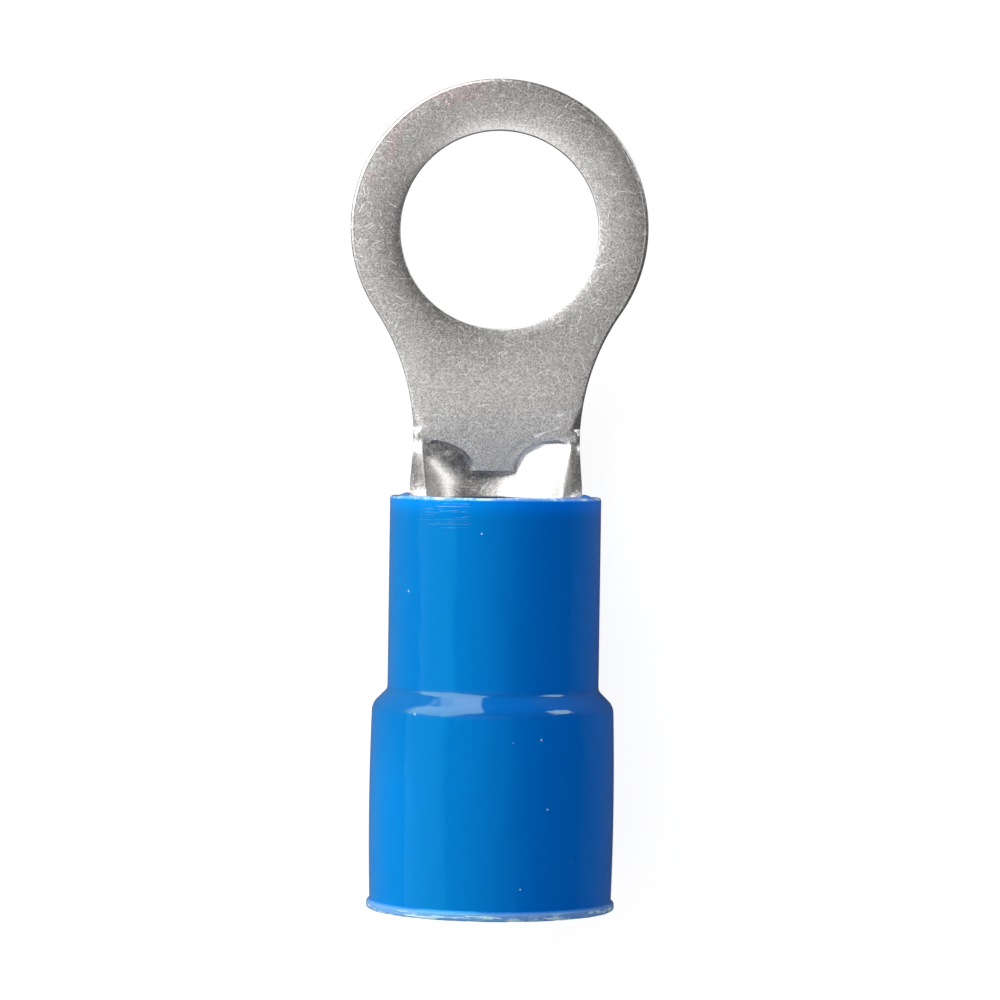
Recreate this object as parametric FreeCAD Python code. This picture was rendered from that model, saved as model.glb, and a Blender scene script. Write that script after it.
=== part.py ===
import FreeCAD, Part
import math
import os

# Ring terminal lying flat, millimetres.
# The origin is the centre of the stud hole, halfway through the sheet.
# +Z is the stud's axis, +Y runs towards the tip of the ring, and the barrel lies towards -Y.

Vector = FreeCAD.Vector

# Sheet and ring.
sheet_thickness = 0.9
upper_z = sheet_thickness / 2
lower_z = -upper_z
stud_hole_dia = 8.4
ring_dia = 12.6
ring_centre_y = 0.07
upper_edge_rounding = 0.15
lower_edge_rounding = 0.06

# Neck between the ring and the barrel.
neck_width = 7.04
waist_y = -8.9
bevel_width = 0.38
bevel_depth = 0.4
bevel_length = 1.7

# Barrel rolled from the same sheet; it is fully round from the sleeve's front rim on.
sleeve_front_y = -11.22
barrel_front_y = sleeve_front_y
barrel_dia = 7.2
barrel_bore_dia = barrel_dia - 2 * sheet_thickness
barrel_rise = 2.4
axis_height = upper_z + barrel_rise
barrel_rear_y = -19.3
barrel_edge_rounding = 0.12
seam_gap = 0.12
mouth_slant = 60.0

# Cheeks and the two hollows beside the end of the tongue.
hollow_front_y = -8.8
hollow_front_width = 6.0
hollow_front_depth = 0.46
hollow_rear_y = -11.9
hollow_rear_relief = 0.03
arch_top_y = -8.93
tongue_end_y = -10.2
tongue_end_width = 1.86
tongue_slope_run = 0.75
underside_bend_start = 0.3
joint_inset = 0.02
cheek_slope_start = 0.12
cheek_slope_end = 0.5

# Insulating sleeve.
sleeve_rear_y = -28.4
sleeve_front_wall = 0.83
sleeve_front_dia = barrel_dia + 2 * sleeve_front_wall
shoulder_step = 0.61
sleeve_rear_dia = sleeve_front_dia + 2 * shoulder_step
sleeve_rear_wall = 0.74
sleeve_bore_dia = sleeve_rear_dia - 2 * sleeve_rear_wall
sleeve_bulge = 0.06
shoulder_y = -19.13
shoulder_angle = 45.0
shoulder_inner_rounding = 0.35
shoulder_outer_rounding = 0.7
funnel_length = 0.9
sleeve_edge_rounding = 0.15
lip_step = 0.13
lip_dia = sleeve_rear_dia + 2 * lip_step
lip_length = 0.42
lip_flare = 0.14


def point(x, y, z=0.0):
    return Vector(x, y, z)


def neck_arc():
    # Radius and centre of the hollow side of the neck, tangent to the ring's outside.
    ring_radius = ring_dia / 2
    half = neck_width / 2
    drop = ring_centre_y - waist_y
    radius = (half ** 2 + drop ** 2 - ring_radius ** 2) / (2 * (ring_radius - half))
    return radius, Vector(half + radius, waist_y, 0)


def tongue_outline():
    # Ring, two hollow sides and the straight cut across the waist, in the plane of the upper face.
    ring_radius = ring_dia / 2
    half = neck_width / 2
    ring_centre = point(0, ring_centre_y)
    neck_radius, neck_centre = neck_arc()
    towards_neck = (neck_centre - ring_centre).normalize()
    joint = ring_centre + towards_neck * ring_radius
    joint_angle = math.atan2(joint.y - neck_centre.y, joint.x - neck_centre.x)
    middle_angle = (joint_angle + math.pi) / 2
    middle = neck_centre + point(math.cos(middle_angle), math.sin(middle_angle)) * neck_radius
    tip = ring_centre + point(0, ring_radius)
    waist = point(half, waist_y)
    mirrored = [point(-p.x, p.y) for p in (joint, middle, waist)]
    edges = [
        Part.Arc(joint, tip, mirrored[0]).toShape(),
        Part.Arc(mirrored[0], mirrored[1], mirrored[2]).toShape(),
        Part.makeLine(mirrored[2], waist),
        Part.Arc(waist, middle, joint).toShape(),
    ]
    return Part.Wire(edges)


def rounded_edges(solid, height, radius):
    # Round the curved rim edges that lie in the face at this height.
    picked = []
    for edge in solid.Edges:
        box = edge.BoundBox
        in_face = abs(box.ZMin - height) < 1e-6 and abs(box.ZMax - height) < 1e-6
        if in_face and box.YMax > waist_y + 0.01:
            picked.append(edge)
    return solid.makeFillet(radius, picked)


def tongue():
    # Flat ring and neck, with soft upper edges from the punch and tighter lower ones.
    blank = Part.Face(tongue_outline()).extrude(point(0, 0, sheet_thickness))
    blank.translate(point(0, 0, lower_z))
    hole = Part.makeCylinder(
        stud_hole_dia / 2, sheet_thickness + 2, point(0, 0, lower_z - 1), point(0, 0, 1)
    )
    blank = blank.cut(hole)
    blank = rounded_edges(blank, upper_z, upper_edge_rounding)
    return rounded_edges(blank, lower_z, lower_edge_rounding)


def smooth_step(t):
    t = min(1.0, max(0.0, t))
    return t * t * (3 - 2 * t)


def trough_curve(half_width, rim_height, floor_height, fullness, count=21):
    # Lower half of a superellipse: fullness 2 is a half circle, larger values grow square corners.
    points = []
    for i in range(count):
        angle = math.pi + math.pi * i / (count - 1)
        c = math.cos(angle)
        s = math.sin(angle)
        x = half_width * math.copysign(abs(c) ** (2 / fullness), c)
        z = rim_height - (rim_height - floor_height) * abs(s) ** (2 / fullness)
        points.append((x, z))
    return points


def trough_wire(y, half_width, rim_height, floor_height, fullness, lid_half, lid_height):
    # Closed section across the strip: the trough, a slope on each side and a flat lid.
    lower = [point(x, y, z) for x, z in trough_curve(half_width, rim_height, floor_height, fullness)]
    curve = Part.BSplineCurve()
    curve.interpolate(lower)
    left_lid = point(-lid_half, y, lid_height)
    right_lid = point(lid_half, y, lid_height)
    edges = [
        curve.toShape(),
        Part.makeLine(lower[-1], right_lid),
        Part.makeLine(right_lid, left_lid),
        Part.makeLine(left_lid, lower[0]),
    ]
    return Part.Wire(edges)


def transition_outside():
    # The strip's lower side and flanks as it changes from the flat neck to the round barrel.
    # Both end sections lie just inside the neck and the barrel, so the joints are clean steps.
    sections = []
    steps = 6
    for i in range(steps + 1):
        t = i / steps
        y = waist_y + (barrel_front_y - waist_y) * t
        half = neck_width / 2 + (barrel_dia - neck_width) / 2 * smooth_step(t) - joint_inset
        bend = smooth_step((t - underside_bend_start) / (1 - underside_bend_start))
        floor = lower_z + (axis_height - barrel_dia / 2 - lower_z) * bend + joint_inset
        fullness = 9.0 + (2.0 - 9.0) * smooth_step(t ** 0.6)
        slope = cheek_slope_start + (cheek_slope_end - cheek_slope_start) * t
        first_rim = upper_z - cheek_slope_start
        rim = first_rim + (axis_height - first_rim) * (0.3 * t + 0.7 * smooth_step(t))
        lid = rim + slope - joint_inset
        sections.append(trough_wire(y, half, rim, floor, fullness, half - slope, lid))
    return Part.makeLoft(sections, True, False)


def hollow():
    # Space inside the cheeks: shallow and square at the tongue, round and deep at the barrel.
    sections = []
    steps = 6
    bore_radius = barrel_bore_dia / 2 + hollow_rear_relief
    for i in range(steps + 1):
        t = i / steps
        y = hollow_front_y + (hollow_rear_y - hollow_front_y) * t
        half = hollow_front_width / 2 + (bore_radius - hollow_front_width / 2) * t
        shallowest = upper_z - hollow_front_depth
        floor = shallowest + (axis_height - bore_radius - shallowest) * smooth_step(1.15 * t)
        fullness = 4.5 + (2.0 - 4.5) * smooth_step(t)
        sections.append(trough_wire(y, half, axis_height, floor, fullness, half, barrel_dia))
    return Part.makeLoft(sections, True, False)


def flank_points(inner_x, outer_x, end_y, front_y, count=9):
    # Quarter ellipse from the front of a hollow round to the end of the tongue.
    points = []
    for i in range(count):
        angle = math.pi / 2 * (1 - i / (count - 1))
        x = outer_x - (outer_x - inner_x) * math.cos(angle)
        y = end_y + (front_y - end_y) * math.sin(angle)
        points.append((x, y))
    return points


def tongue_end_wire(depth):
    # Outline of the tongue's end at this depth below its upper face; it spreads as it goes down.
    z = upper_z - depth
    spread = 0.3 * depth
    run = tongue_slope_run * depth
    outer_x = hollow_front_width / 2 + 0.01
    end_y = tongue_end_y - run
    front_y = arch_top_y - spread
    flank = flank_points(tongue_end_width / 2 + spread, outer_x, end_y, front_y)
    right = Part.BSplineCurve()
    right.interpolate([point(x, y, z) for x, y in flank])
    left = Part.BSplineCurve()
    left.interpolate([point(-x, y, z) for x, y in reversed(flank)])
    root_y = waist_y + 0.4
    inner_x = flank[-1][0]
    edges = [
        Part.makeLine(point(outer_x, root_y, z), point(outer_x, front_y, z)),
        right.toShape(),
        Part.makeLine(point(inner_x, end_y, z), point(-inner_x, end_y, z)),
        left.toShape(),
        Part.makeLine(point(-outer_x, front_y, z), point(-outer_x, root_y, z)),
        Part.makeLine(point(-outer_x, root_y, z), point(outer_x, root_y, z)),
    ]
    return Part.Wire(edges)


def tongue_end():
    # The wedge of flat sheet that stays between the two hollows.
    return Part.makeLoft([tongue_end_wire(0.0), tongue_end_wire(1.5)], True, True)


def above_plane(a, b, c):
    # Thick disc standing on the side of a plane that faces upwards.
    normal = (b - a).cross(c - a)
    if normal.z < 0:
        normal = normal * -1
    return Part.makeCylinder(neck_width, neck_width, (a + b + c) * (1 / 3), normal)


def corner_bevel(side):
    # Three-sided dent pressed into the upper corner of the neck, just ahead of a cheek.
    half = neck_width / 2
    deepest_y = waist_y + 0.5
    start = point(side * (half + 0.13), deepest_y + bevel_length, upper_z)
    inner = point(side * (half - bevel_width), deepest_y, upper_z)
    end = point(side * (half + joint_inset), waist_y + 0.03, upper_z)
    low = point(side * (half + joint_inset), deepest_y, upper_z - bevel_depth)
    dent = above_plane(start, inner, low).common(above_plane(inner, end, low))
    limit = Part.makeBox(
        neck_width, deepest_y + bevel_length - waist_y, sheet_thickness,
        point(0 if side > 0 else -neck_width, waist_y, lower_z)
    )
    return dent.common(limit)


def barrel_outside():
    length = barrel_front_y - barrel_rear_y
    tube = Part.makeCylinder(
        barrel_dia / 2, length, point(0, barrel_rear_y, axis_height), point(0, 1, 0)
    )
    rim = [edge for edge in tube.Edges if abs(edge.BoundBox.YMax - barrel_rear_y) < 1e-6]
    return tube.makeFillet(barrel_edge_rounding, rim)


def barrel_bore():
    length = hollow_rear_y - barrel_rear_y
    bore = Part.makeCylinder(
        barrel_bore_dia / 2, length + 1, point(0, barrel_rear_y - 1, axis_height), point(0, 1, 0)
    )
    entry = Part.makeCone(
        barrel_bore_dia / 2 + barrel_edge_rounding, barrel_bore_dia / 2, barrel_edge_rounding,
        point(0, barrel_rear_y, axis_height), point(0, 1, 0)
    )
    return bore.fuse(entry)


def barrel_mouth():
    # Everything above the slanting cut that opens the barrel towards the ring.
    height = barrel_dia
    run = height / math.tan(math.radians(mouth_slant))
    lid = axis_height + cheek_slope_end - joint_inset
    start = point(-barrel_dia, barrel_front_y, lid)
    corners = [
        start,
        start + point(0, -run, height),
        start + point(0, 0, height),
        start,
    ]
    return Part.Face(Part.makePolygon(corners)).extrude(point(2 * barrel_dia, 0, 0))


def barrel_seam():
    # The two long edges of the rolled sheet nearly meet along the top.
    return Part.makeBox(
        seam_gap, barrel_front_y - barrel_rear_y + 2, barrel_dia,
        point(-seam_gap / 2, barrel_rear_y - 1, axis_height)
    )


def metal_terminal():
    solid = tongue().fuse([transition_outside(), barrel_outside()])
    space = hollow().cut(tongue_end())
    solid = solid.cut([space, barrel_bore(), barrel_mouth(), barrel_seam()])
    solid = solid.cut([corner_bevel(1), corner_bevel(-1)])
    return solid.removeSplitter()


def fillet_bend(start, direction, turn, radius):
    # End point and middle point of an arc that leaves start along direction and turns by this angle.
    side = 1 if turn > 0 else -1
    normal = (-direction[1] * side, direction[0] * side)
    centre = (start[0] + normal[0] * radius, start[1] + normal[1] * radius)
    results = []
    for share in (0.5, 1.0):
        angle = turn * share
        c = math.cos(angle)
        s = math.sin(angle)
        rx = -normal[0] * radius
        ry = -normal[1] * radius
        results.append((centre[0] + c * rx - s * ry, centre[1] + s * rx + c * ry))
    c = math.cos(turn)
    s = math.sin(turn)
    heading = (c * direction[0] - s * direction[1], s * direction[0] + c * direction[1])
    return results[0], results[1], heading


def sleeve_profile():
    # Half section of the sleeve in the plane of its axis: (distance from axis, y).
    bore = barrel_dia / 2
    front = sleeve_front_dia / 2
    rear = sleeve_rear_dia / 2
    wide_bore = sleeve_bore_dia / 2
    lip = lip_dia / 2
    soft = sleeve_edge_rounding
    turn = math.radians(shoulder_angle)
    edges = []
    here = [(bore, sleeve_front_y - soft / 2)]

    def spot(pair):
        return point(0, pair[1], axis_height + pair[0])

    def line_to(pair):
        edges.append(Part.makeLine(spot(here[0]), spot(pair)))
        here[0] = pair

    def arc_to(middle, pair):
        edges.append(Part.Arc(spot(here[0]), spot(middle), spot(pair)).toShape())
        here[0] = pair

    corner = 1 - math.sqrt(0.5)
    line_to((bore + soft / 2, sleeve_front_y))
    line_to((front - soft, sleeve_front_y))
    arc_to((front - soft * corner, sleeve_front_y - soft * corner), (front, sleeve_front_y - soft))
    line_to((front, shoulder_y))
    middle, end, heading = fillet_bend(here[0], (0, -1), turn, shoulder_inner_rounding)
    arc_to(middle, end)
    # the straight of the shoulder fills what the two roundings leave of the step
    outer_rise = shoulder_outer_rounding * (1 - math.cos(turn))
    straight = (rear - outer_rise - end[0]) / math.sin(turn)
    line_to((end[0] + heading[0] * straight, end[1] + heading[1] * straight))
    middle, end, heading = fillet_bend(here[0], heading, -turn, shoulder_outer_rounding)
    arc_to(middle, end)
    lip_start = sleeve_rear_y + lip_length + lip_flare
    belly = (rear + sleeve_bulge, (here[0][1] + lip_start) / 2)
    arc_to(belly, (rear, lip_start))
    line_to((lip - 0.03, sleeve_rear_y + lip_length))
    line_to((lip, sleeve_rear_y + lip_length - 0.06))
    line_to((lip, sleeve_rear_y + 0.1))
    line_to((lip - 0.1, sleeve_rear_y))
    line_to((wide_bore + soft, sleeve_rear_y))
    arc_to((wide_bore + soft * corner, sleeve_rear_y + soft * corner), (wide_bore, sleeve_rear_y + soft))
    line_to((wide_bore, barrel_rear_y - funnel_length))
    line_to((bore, barrel_rear_y))
    line_to((bore, sleeve_front_y - soft / 2))
    return Part.Wire(edges)


def insulating_sleeve():
    section = Part.Face(sleeve_profile())
    return section.revolve(point(0, 0, axis_height), point(0, 1, 0), 360)


def write_part(shape, name):
    solids = shape.Solids
    print(name, "valid", shape.isValid(), "solids", len(solids), "volume", round(shape.Volume, 2))
    solids[0].exportStep("parts/" + name + ".step")


os.makedirs("parts", exist_ok=True)
write_part(metal_terminal(), "metal_terminal")
write_part(insulating_sleeve(), "insulating_sleeve")
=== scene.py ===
import math

import bmesh
import bpy
import numpy as np
from mathutils import Matrix, Vector


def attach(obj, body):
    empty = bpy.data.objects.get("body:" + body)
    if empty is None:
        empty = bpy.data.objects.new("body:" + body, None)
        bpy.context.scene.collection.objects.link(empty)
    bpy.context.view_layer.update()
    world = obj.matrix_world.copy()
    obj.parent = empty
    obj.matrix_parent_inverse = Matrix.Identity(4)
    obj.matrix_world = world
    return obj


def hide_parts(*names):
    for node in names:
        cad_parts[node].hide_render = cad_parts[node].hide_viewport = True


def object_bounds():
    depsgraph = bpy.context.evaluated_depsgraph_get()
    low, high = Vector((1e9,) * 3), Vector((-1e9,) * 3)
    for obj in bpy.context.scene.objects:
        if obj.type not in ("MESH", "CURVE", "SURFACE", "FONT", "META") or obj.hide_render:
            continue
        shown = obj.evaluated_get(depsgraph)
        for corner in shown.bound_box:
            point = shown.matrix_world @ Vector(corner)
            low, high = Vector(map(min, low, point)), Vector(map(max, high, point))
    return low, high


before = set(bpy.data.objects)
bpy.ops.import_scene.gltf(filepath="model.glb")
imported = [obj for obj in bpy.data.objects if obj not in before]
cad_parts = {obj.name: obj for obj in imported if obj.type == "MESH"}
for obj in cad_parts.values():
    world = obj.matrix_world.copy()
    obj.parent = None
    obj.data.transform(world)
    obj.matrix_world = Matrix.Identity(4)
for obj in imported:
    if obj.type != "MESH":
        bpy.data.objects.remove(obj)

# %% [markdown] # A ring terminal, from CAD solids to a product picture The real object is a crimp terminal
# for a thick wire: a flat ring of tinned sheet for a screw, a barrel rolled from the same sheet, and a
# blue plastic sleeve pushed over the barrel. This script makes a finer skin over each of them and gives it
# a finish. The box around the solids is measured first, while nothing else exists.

MM = 0.001
cad_box = [[float(v) for v in corner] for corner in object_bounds()]
print("CAD box in mm:", [[round(v / MM, 2) for v in corner] for corner in cad_box])

# %% [markdown]
# ## Soft changes from one shape to another
# Nothing on rolled sheet changes suddenly: a floor turns into a wall, a flat neck into a tube. Each change
# could be shaped by hand with edge loops and creases. Here a formula does it, because the shape can then be
# corrected by one number: `smooth` gives a share that eases in and out, and `mix` blends two shapes by it.
# Both take single numbers as well as whole rows of points.

# %% Easing and blending
def smooth(t):
    """Ease from 0 to 1, level at both ends."""
    t = np.clip(t, 0, 1)
    return t * t * (3 - 2 * t)


def mix(a, b, t):
    """a where t is 0, b where t is 1."""
    return a + (b - a) * t


print("a quarter and halfway along the ease:", round(float(smooth(0.25)), 3), round(float(smooth(0.5)), 3))

# %% [markdown]
# ## The outline of the flat part
# On the real part ring and neck are punched from strip 0.9 mm thick. Seen from above the outline is a
# circle that runs into two hollow arcs, which end at the waist, where the sheet begins to roll up. A drawn
# curve could be filled, but then each later step would have to find the edge again. The arcs follow from
# the sizes of the ring and the waist, so they are worked out here, and `edge_distance` tells for any point
# how far it is from the edge. All lengths are millimetres from the stud hole's centre, halfway through the
# sheet.

# %% Sizes of the flat part
SHEET = 0.9
TOP = SHEET / 2
BOTTOM = -SHEET / 2
HOLE_R = 4.2
RING_R = 6.295
RING_Y = 0.07
NECK_HALF = 3.52
WAIST_Y = -8.9
print("ring of", round(2 * RING_R, 2), "mm with a hole of", 2 * HOLE_R, "mm, waist at y", WAIST_Y)

# %% The neck's hollow arcs and the distance from the edge
NECK_DROP = RING_Y - WAIST_Y
NECK_R = (NECK_HALF ** 2 + NECK_DROP ** 2 - RING_R ** 2) / (2 * (RING_R - NECK_HALF))
NECK_CX = NECK_HALF + NECK_R
JOIN_ANGLE = math.atan2(WAIST_Y - RING_Y, NECK_CX)


def edge_distance(x, y):
    """Distance from the outside edge of the flat part, along the face."""
    ax = np.abs(x)
    ring = RING_R - np.hypot(ax, y - RING_Y)
    neck = np.hypot(ax - NECK_CX, y - WAIST_Y) - NECK_R
    below = np.arctan2(y - RING_Y, ax) < JOIN_ANGLE
    return np.where(below, neck, ring)


print("neck arcs of radius", round(NECK_R, 2), "round x", round(NECK_CX, 2))

# %% [markdown]
# ## How wide the strip is
# Behind the waist the same strip becomes the barrel, a tube 7.2 mm across that holds the wire. Most of it
# is hidden in the sleeve. A separate tube could be joined to the neck, but a joint in the middle of one
# sheet would show as a crease. So one function gives the width all the way, and it will carry one unbroken
# surface.

# %% Sizes of the barrel and the strip's half width
BARREL_R = 3.6
BORE_R = BARREL_R - SHEET
AXIS_Z = TOP + 2.4
FRONT_Y = -11.22
REAR_Y = -19.3


def half_width(y):
    """Half the strip's width at y, for the neck and the barrel."""
    y = np.asarray(y, float)
    hollow = NECK_CX - np.sqrt(np.maximum(NECK_R ** 2 - (np.maximum(y, WAIST_Y) - WAIST_Y) ** 2, 0))
    t = np.clip((WAIST_Y - y) / (WAIST_Y - FRONT_Y), 0, 1)
    return hollow + (BARREL_R - NECK_HALF) * smooth(t)


print("half width at y -7, -9 and -12:", [round(float(half_width(y)), 2) for y in (-7, -9, -12)])

# %% [markdown]
# ## A builder for skins
# The metal is one closed skin: upper face, lower face, edges and bore. It could be cut from a solid block
# with Boolean modifiers, but those leave long thin triangles that spoil the shading of soft metal. Here the
# skin is made of grids of points instead. Where two grids share a border, their points lie in the same
# places, and welding joins them. The welding step counts the edges that stay open, so that a gap is noticed
# at once.

# %% Grids of points, and triangles between two borders
class Skin:
    """Collects points and faces until they become one mesh."""

    def __init__(self):
        self.points = []
        self.faces = []
        self.count = 0

    def grid(self, points, closed=False):
        """Rows by columns of points; returns the index of every point."""
        rows, columns = points.shape[:2]
        self.points.append(np.asarray(points, float).reshape(-1, 3))
        index = self.count + np.arange(rows * columns).reshape(rows, columns)
        self.count += rows * columns
        across = np.concatenate([index, index[:, :1]], axis=1) if closed else index
        quads = np.stack([across[:-1, :-1], across[:-1, 1:], across[1:, 1:], across[1:, :-1]], axis=-1)
        self.faces.extend(quads.reshape(-1, 4).tolist())
        return index

    def bridge(self, a, b):
        """Triangles between two rows with different numbers of points."""
        i = j = 0
        while i < len(a) - 1 or j < len(b) - 1:
            if j == len(b) - 1 or (i < len(a) - 1 and (i + 1) / (len(a) - 1) <= (j + 1) / (len(b) - 1)):
                self.faces.append([int(a[i]), int(a[i + 1]), int(b[j])])
                i += 1
            else:
                self.faces.append([int(a[i]), int(b[j + 1]), int(b[j])])
                j += 1


metal = Skin()
print("an empty skin has", len(metal.faces), "faces")

# %% Weld a skin and make it an object
def weld(mesh, distance):
    """Join points in the same place, turn all normals outwards and count the open edges."""
    work = bmesh.new()
    work.from_mesh(mesh)
    bmesh.ops.remove_doubles(work, verts=work.verts, dist=distance)
    bmesh.ops.dissolve_degenerate(work, edges=work.edges, dist=1e-8)
    bmesh.ops.recalc_face_normals(work, faces=work.faces)
    open_edges = sum(1 for edge in work.edges if len(edge.link_faces) != 2)
    work.to_mesh(mesh)
    work.free()
    return open_edges


def finished_piece(name, mesh, distance):
    """A welded mesh as an object in the scene, smooth apart from its real corners."""
    open_edges = weld(mesh, distance)
    mesh.shade_smooth()
    mesh.set_sharp_from_angle(angle=math.radians(38))
    piece = bpy.data.objects.new(name, mesh)
    bpy.context.scene.collection.objects.link(piece)
    print(name, "faces", len(mesh.polygons), "open edges", open_edges)
    return piece


METAL_WELD = 2e-7
print("points of the metal closer than", round(METAL_WELD / MM, 4), "mm will be joined")

# %% [markdown]
# ## Rounded edges
# A punch rounds the side where it enters the sheet and leaves a sharper edge on the other. A Bevel modifier
# could do this on a finished mesh, but here each face is a height above the flat, so its edge is simply a
# drop near the outline. `quarter` is that drop: a quarter circle of a given radius.

# %% The drop near an edge
EDGE_R = 0.09
BURR_R = 0.06
HOLE_EDGE = 0.03


def quarter(d, radius):
    """How far a rounded edge has dropped at distance d from it."""
    u = np.clip(1 - d / radius, 0, 1)
    return radius * (1 - np.sqrt(np.maximum(1 - u * u, 0)))


print("drop at the punched edge and 0.2 mm inside it:",
      [round(float(quarter(d, EDGE_R)), 3) for d in (0.0, 0.2)])

# %% [markdown]
# ## Dents at the neck's corners
# The photo shows a small three-sided dent at each corner of the neck, left by the press. Such a dent could
# be carved in Sculpt Mode, but not twice alike. Here two sloping planes make it: the higher of the two is
# the dent, and it counts wherever it lies below the face. That gives crisp lines between the facets, as on
# the pressed metal.

# %% Two planes per dent
DENT_LENGTH = 1.3
DENT_DEPTH = 0.32


def plane_height(a, b, c, x, y):
    """Height at x, y of the plane through three points."""
    normal = np.cross(np.subtract(b, a), np.subtract(c, a))
    return a[2] - (normal[0] * (x - a[0]) + normal[1] * (y - a[1])) / normal[2]


def neck_dent(x, y, z):
    """The face's height z, lowered where a dent is pressed into the neck's corner."""
    ax = np.abs(x)
    deep_y = WAIST_Y + 0.5
    start = (NECK_HALF + 0.09, deep_y + DENT_LENGTH, TOP)
    inner = (NECK_HALF - 0.38, deep_y, TOP)
    end = (NECK_HALF + 0.02, WAIST_Y + 0.03, TOP)
    low = (NECK_HALF + 0.02, deep_y, TOP - DENT_DEPTH)
    dent = np.maximum(plane_height(start, inner, low, ax, y), plane_height(inner, end, low, ax, y))
    inside = (y > WAIST_Y) & (y < deep_y + DENT_LENGTH) & (ax > NECK_HALF - 0.5)
    return np.where(inside, np.minimum(z, dent), z)


print("height at the corner's edge:", round(float(neck_dent(3.5, WAIST_Y + 0.5, TOP)), 2), "of", TOP)

# %% [markdown]
# ## The upper face
# The ring isn't quite flat: the press lets it fall off softly towards the hole and the outside, and the
# light in the photo shows it as a pale band round the hole. A painted band would stay put when the light
# moves, so the fall is real shape: two broad curves, a hair's breadth of ridge beside the outer edge, and
# the rounded edges.

# %% Height of the upper face
OUTER_FALL = 0.15
OUTER_REACH = 0.65
HOLE_FALL = 0.21
HOLE_REACH = 0.62
RIDGE_HEIGHT = 0.010
RIDGE_WIDTH = 0.03
ROOM_FOR_RIDGE = 0.012


def flat_height(x, y):
    """Upper face of the flat part: soft punched edge, broad gentle crown, rounded hole edge."""
    d = edge_distance(x, y)
    hole = np.hypot(x, y) - HOLE_R
    ringwards = mix(0.45, 1.0, smooth((y + 8) / 6))
    outer_fall = OUTER_FALL * np.exp(-np.maximum(d, 0) / OUTER_REACH) * ringwards
    crown = outer_fall + HOLE_FALL * np.exp(-np.maximum(hole, 0) / HOLE_REACH)
    ridge = RIDGE_HEIGHT * np.exp(-((d - EDGE_R - RIDGE_WIDTH) / RIDGE_WIDTH) ** 2) * smooth((y + 5.5) / 2)
    z = TOP - ROOM_FOR_RIDGE - crown + ridge - quarter(d, EDGE_R) * 0.9 - quarter(hole, HOLE_EDGE)
    return neck_dent(x, y, z)


print("height beside the hole, mid ring and at the edge:",
      [round(float(flat_height(x, 0.0)), 3) for x in (HOLE_R + 0.05, 5.2, RING_R - 0.05)])

# %% [markdown]
# ## The cheeks
# Between the flat neck and the closed tube the sheet's two sides stand up like the sides of a boat. Seen
# from above one looks onto their cut edges. They could be bent with a Simple Deform modifier, but that
# bends the whole sheet alike. Here three heights are given along the cheek: its outer rim, the slope worn
# on the cut edge, and the cut edge itself.

# %% Heights along a cheek
SLOPE_START = 0.12
SLOPE_END = 0.5


def cheek(y):
    """Outer rim height, slope height and cut edge height of a cheek at y."""
    t = np.clip((WAIST_Y - y) / (WAIST_Y - FRONT_Y), 0, 1)
    t = 1.14 * t * t / (t + 0.14)
    slope = mix(SLOPE_START, SLOPE_END, t)
    first = TOP - SLOPE_START
    rim = mix(first, AXIS_Z, 0.3 * t + 0.7 * smooth(t))
    return rim, slope, rim + slope


print("cut edge height at y -9, -10 and -11:", [round(float(cheek(y)[2]), 2) for y in (-9, -10, -11)])

# %% [markdown]
# ## Where the barrel closes
# Behind the sleeve's rim the cheeks lean over until they meet in a butt seam, as on real terminals whose
# seam isn't brazed. It could be left as an open channel, since the sleeve hides it, but one can look in
# from both ends. So the opening narrows along a slanting line until only the seam is left.

# %% The angle up to the cut edge
SEAM = 0.06 / (BARREL_R - SHEET / 2)
MOUTH_SLOPE = math.tan(math.radians(60))


def opening_angle(y):
    """Angle from the barrel's lowest line up to the cut edge, behind the sleeve's rim."""
    height = SLOPE_END - 0.02 + max(0.0, FRONT_Y - y) * MOUTH_SLOPE
    middle = (BARREL_R + BORE_R) / 2
    if height >= middle:
        return math.pi - SEAM
    return min(math.pi / 2 + math.asin(height / middle), math.pi - SEAM)


print("degrees to the cut edge at y -11.3, -12 and -13.5:",
      [round(math.degrees(opening_angle(y))) for y in (-11.3, -12, -13.5)])

# %% [markdown]
# ## The tongue between two hollows
# The flat neck ends in a tongue, and on each side of it the metal is pressed down in an arch. This is the
# most striking form in the photo. It could be a Boolean cut with two ellipsoids; a distance does the same
# and leaves clean rows of points. `into_hollow` measures how far a place lies inside an arch (or past the
# tongue's tip), and the height falls with it. The photo's right arch is a little fuller, so each side has
# its own sizes.

# %% How far a place lies in a hollow
ARCH_Y = -8.93
TONGUE_END_Y = -10.2
TONGUE_HALF_LEFT = 0.93
TONGUE_HALF_RIGHT = 0.74
ARCH_MIDDLE_LEFT = 2.75
ARCH_MIDDLE_RIGHT = 2.45


def arch_sizes(x):
    """Where the arch on this side has its middle, and its reach sideways and forwards."""
    middle = np.where(x > 0, ARCH_MIDDLE_RIGHT, ARCH_MIDDLE_LEFT)
    reach_x = middle - np.where(x > 0, TONGUE_HALF_RIGHT, TONGUE_HALF_LEFT)
    return middle, reach_x, ARCH_Y - TONGUE_END_Y + np.where(x > 0, 0.06, 0.0)


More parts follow.
